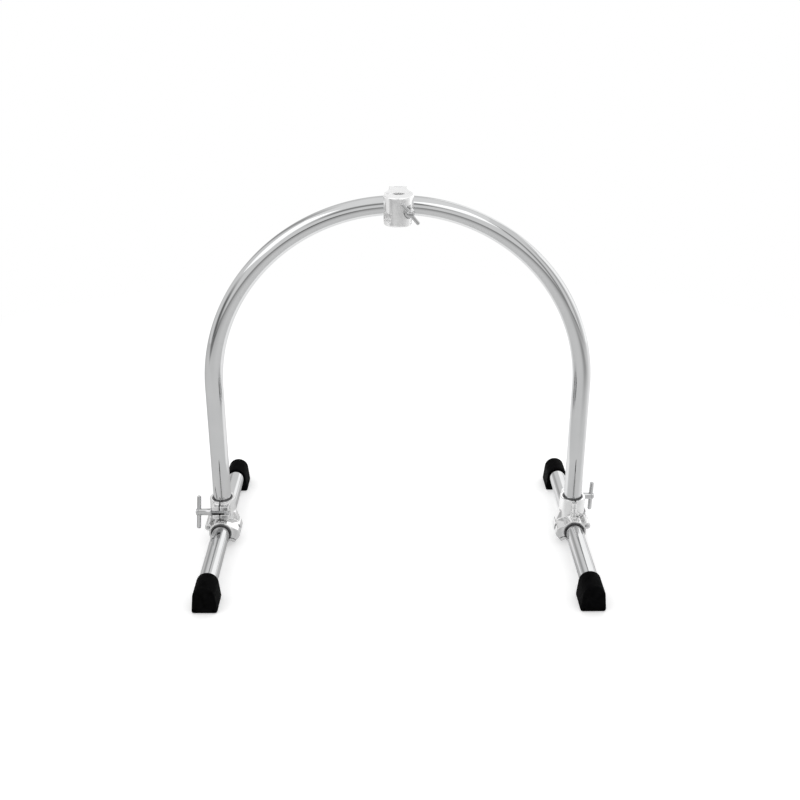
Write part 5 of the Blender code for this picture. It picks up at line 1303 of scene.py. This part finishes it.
def times(tree, first, second):
    return math_node(tree, "MULTIPLY", first, second)


def seen_rays(tree):
    """1 for camera, glossy and transmission rays."""
    path = add(tree, "LightPath").outputs
    mirrored = math_node(tree, "MAXIMUM", path["Is Camera Ray"], path["Is Glossy Ray"])
    return math_node(tree, "MAXIMUM", mirrored, path["Is Transmission Ray"])


def direction(tree):
    """Azimuth and elevation, in degrees, of the way a ray leaves; 0 is the front, + the right."""
    way = add(tree, "TexCoord").outputs["Generated"]
    split = add(tree, "SeparateXYZ", {"Vector": way}).outputs
    turn = math_node(tree, "ARCTAN2", split["X"], times(tree, split["Y"], -1))
    rise = math_node(tree, "ARCSINE", split["Z"])
    return math_node(tree, "DEGREES", turn), math_node(tree, "DEGREES", rise)


def within(tree, value, low, high, soft):
    """1 between low and high, 0 outside, with soft edges."""
    edge = soft / 2
    return times(tree, spread(tree, value, 0, 1, low - edge, low + edge),
                 spread(tree, value, 1, 0, high - edge, high + edge))


def room(tree):
    """What polished metal shows of the room: white walls with darker things in front."""
    azimuth, elevation = direction(tree)
    light = 1.0
    for sides, heights, lean, soft, grey in DARK_THINGS:
        across = math_node(tree, "ADD", azimuth, times(tree, elevation, -lean))
        inside = times(tree, within(tree, across, *sides, soft),
                       within(tree, elevation, *heights, soft))
        light = times(tree, light, spread(tree, inside, 1, grey, 0, 1))
    to_camera = add(tree, "LightPath").outputs["Is Camera Ray"]
    return math_node(tree, "MAXIMUM", light, to_camera)


def studio_world():
    """White behind everything that is seen, and a soft fill for the rest."""
    world = bpy.data.worlds.new("studio")
    bpy.context.scene.world = world
    world.use_nodes = True
    tree = world.node_tree
    fill = tree.nodes["Background"]
    fill.inputs["Color"].default_value = (1, 1, 1, 1)
    fill.inputs["Strength"].default_value = FILL
    white = add(tree, "Background", {"Color": (1, 1, 1, 1), "Strength": room(tree)})
    shown = mixed(tree, seen_rays(tree), fill.outputs["Background"], white.outputs["Background"])
    tree.links.new(shown, tree.nodes["World Output"].inputs["Surface"])


def softbox(name, place, target, size, brightness):
    """A soft panel; its brightness adds to the white wall's in a mirror."""
    lamp = bpy.data.lights.new(name, "AREA")
    lamp.shape = "RECTANGLE"
    lamp.size, lamp.size_y = size
    lamp.energy = brightness * pi * size[0] * size[1]
    thing = bpy.data.objects.new(name, lamp)
    bpy.context.scene.collection.objects.link(thing)
    look = (Vector(target) - Vector(place)).to_track_quat("-Z", "Y").to_matrix().to_4x4()
    thing.matrix_world = Matrix.Translation(place) @ look
    thing.visible_camera = False


# Camera

def camera():
    """The photo's viewpoint: eye height, distance and turn from a fit to its picture."""
    yaw, pitch, roll = (radians(turn) for turn in EYE_TURN)
    ahead = Vector((sin(yaw) * cos(pitch), cos(yaw) * cos(pitch), -sin(pitch)))
    across = Vector((cos(yaw), -sin(yaw), 0))
    above = across.cross(ahead)
    right = across * cos(roll) + above * sin(roll)
    up = above * cos(roll) - across * sin(roll)
    lens = bpy.data.cameras.new("camera")
    lens.lens = EYE_LENS
    lens.sensor_width = EYE_SENSOR
    lens.clip_end = EYE_CLIP
    eye = bpy.data.objects.new("camera", lens)
    bpy.context.scene.collection.objects.link(eye)
    turn = Matrix((right, up, -ahead)).transposed().to_4x4()
    eye.matrix_world = Matrix.Translation(EYE) @ turn
    bpy.context.scene.camera = eye


def build():
    make_arch()
    for side in (-1, 1):
        for make in (make_leg, make_clamp_body, make_upright_jaw, make_sleeve_jaw, make_pins,
                     make_bushes, make_side_handle, make_sleeve_bolt):
            make(side)
    for make in (make_crown_body, make_arch_jaw, make_post_jaw, make_arch_bush,
                 make_crown_handle, make_crown_fasteners):
        make()


build()
studio_floor()
studio_world()
for lamp, settings in LAMPS.items():
    softbox(lamp, *settings)
camera()
bpy.context.scene.view_settings.view_transform = "Standard"
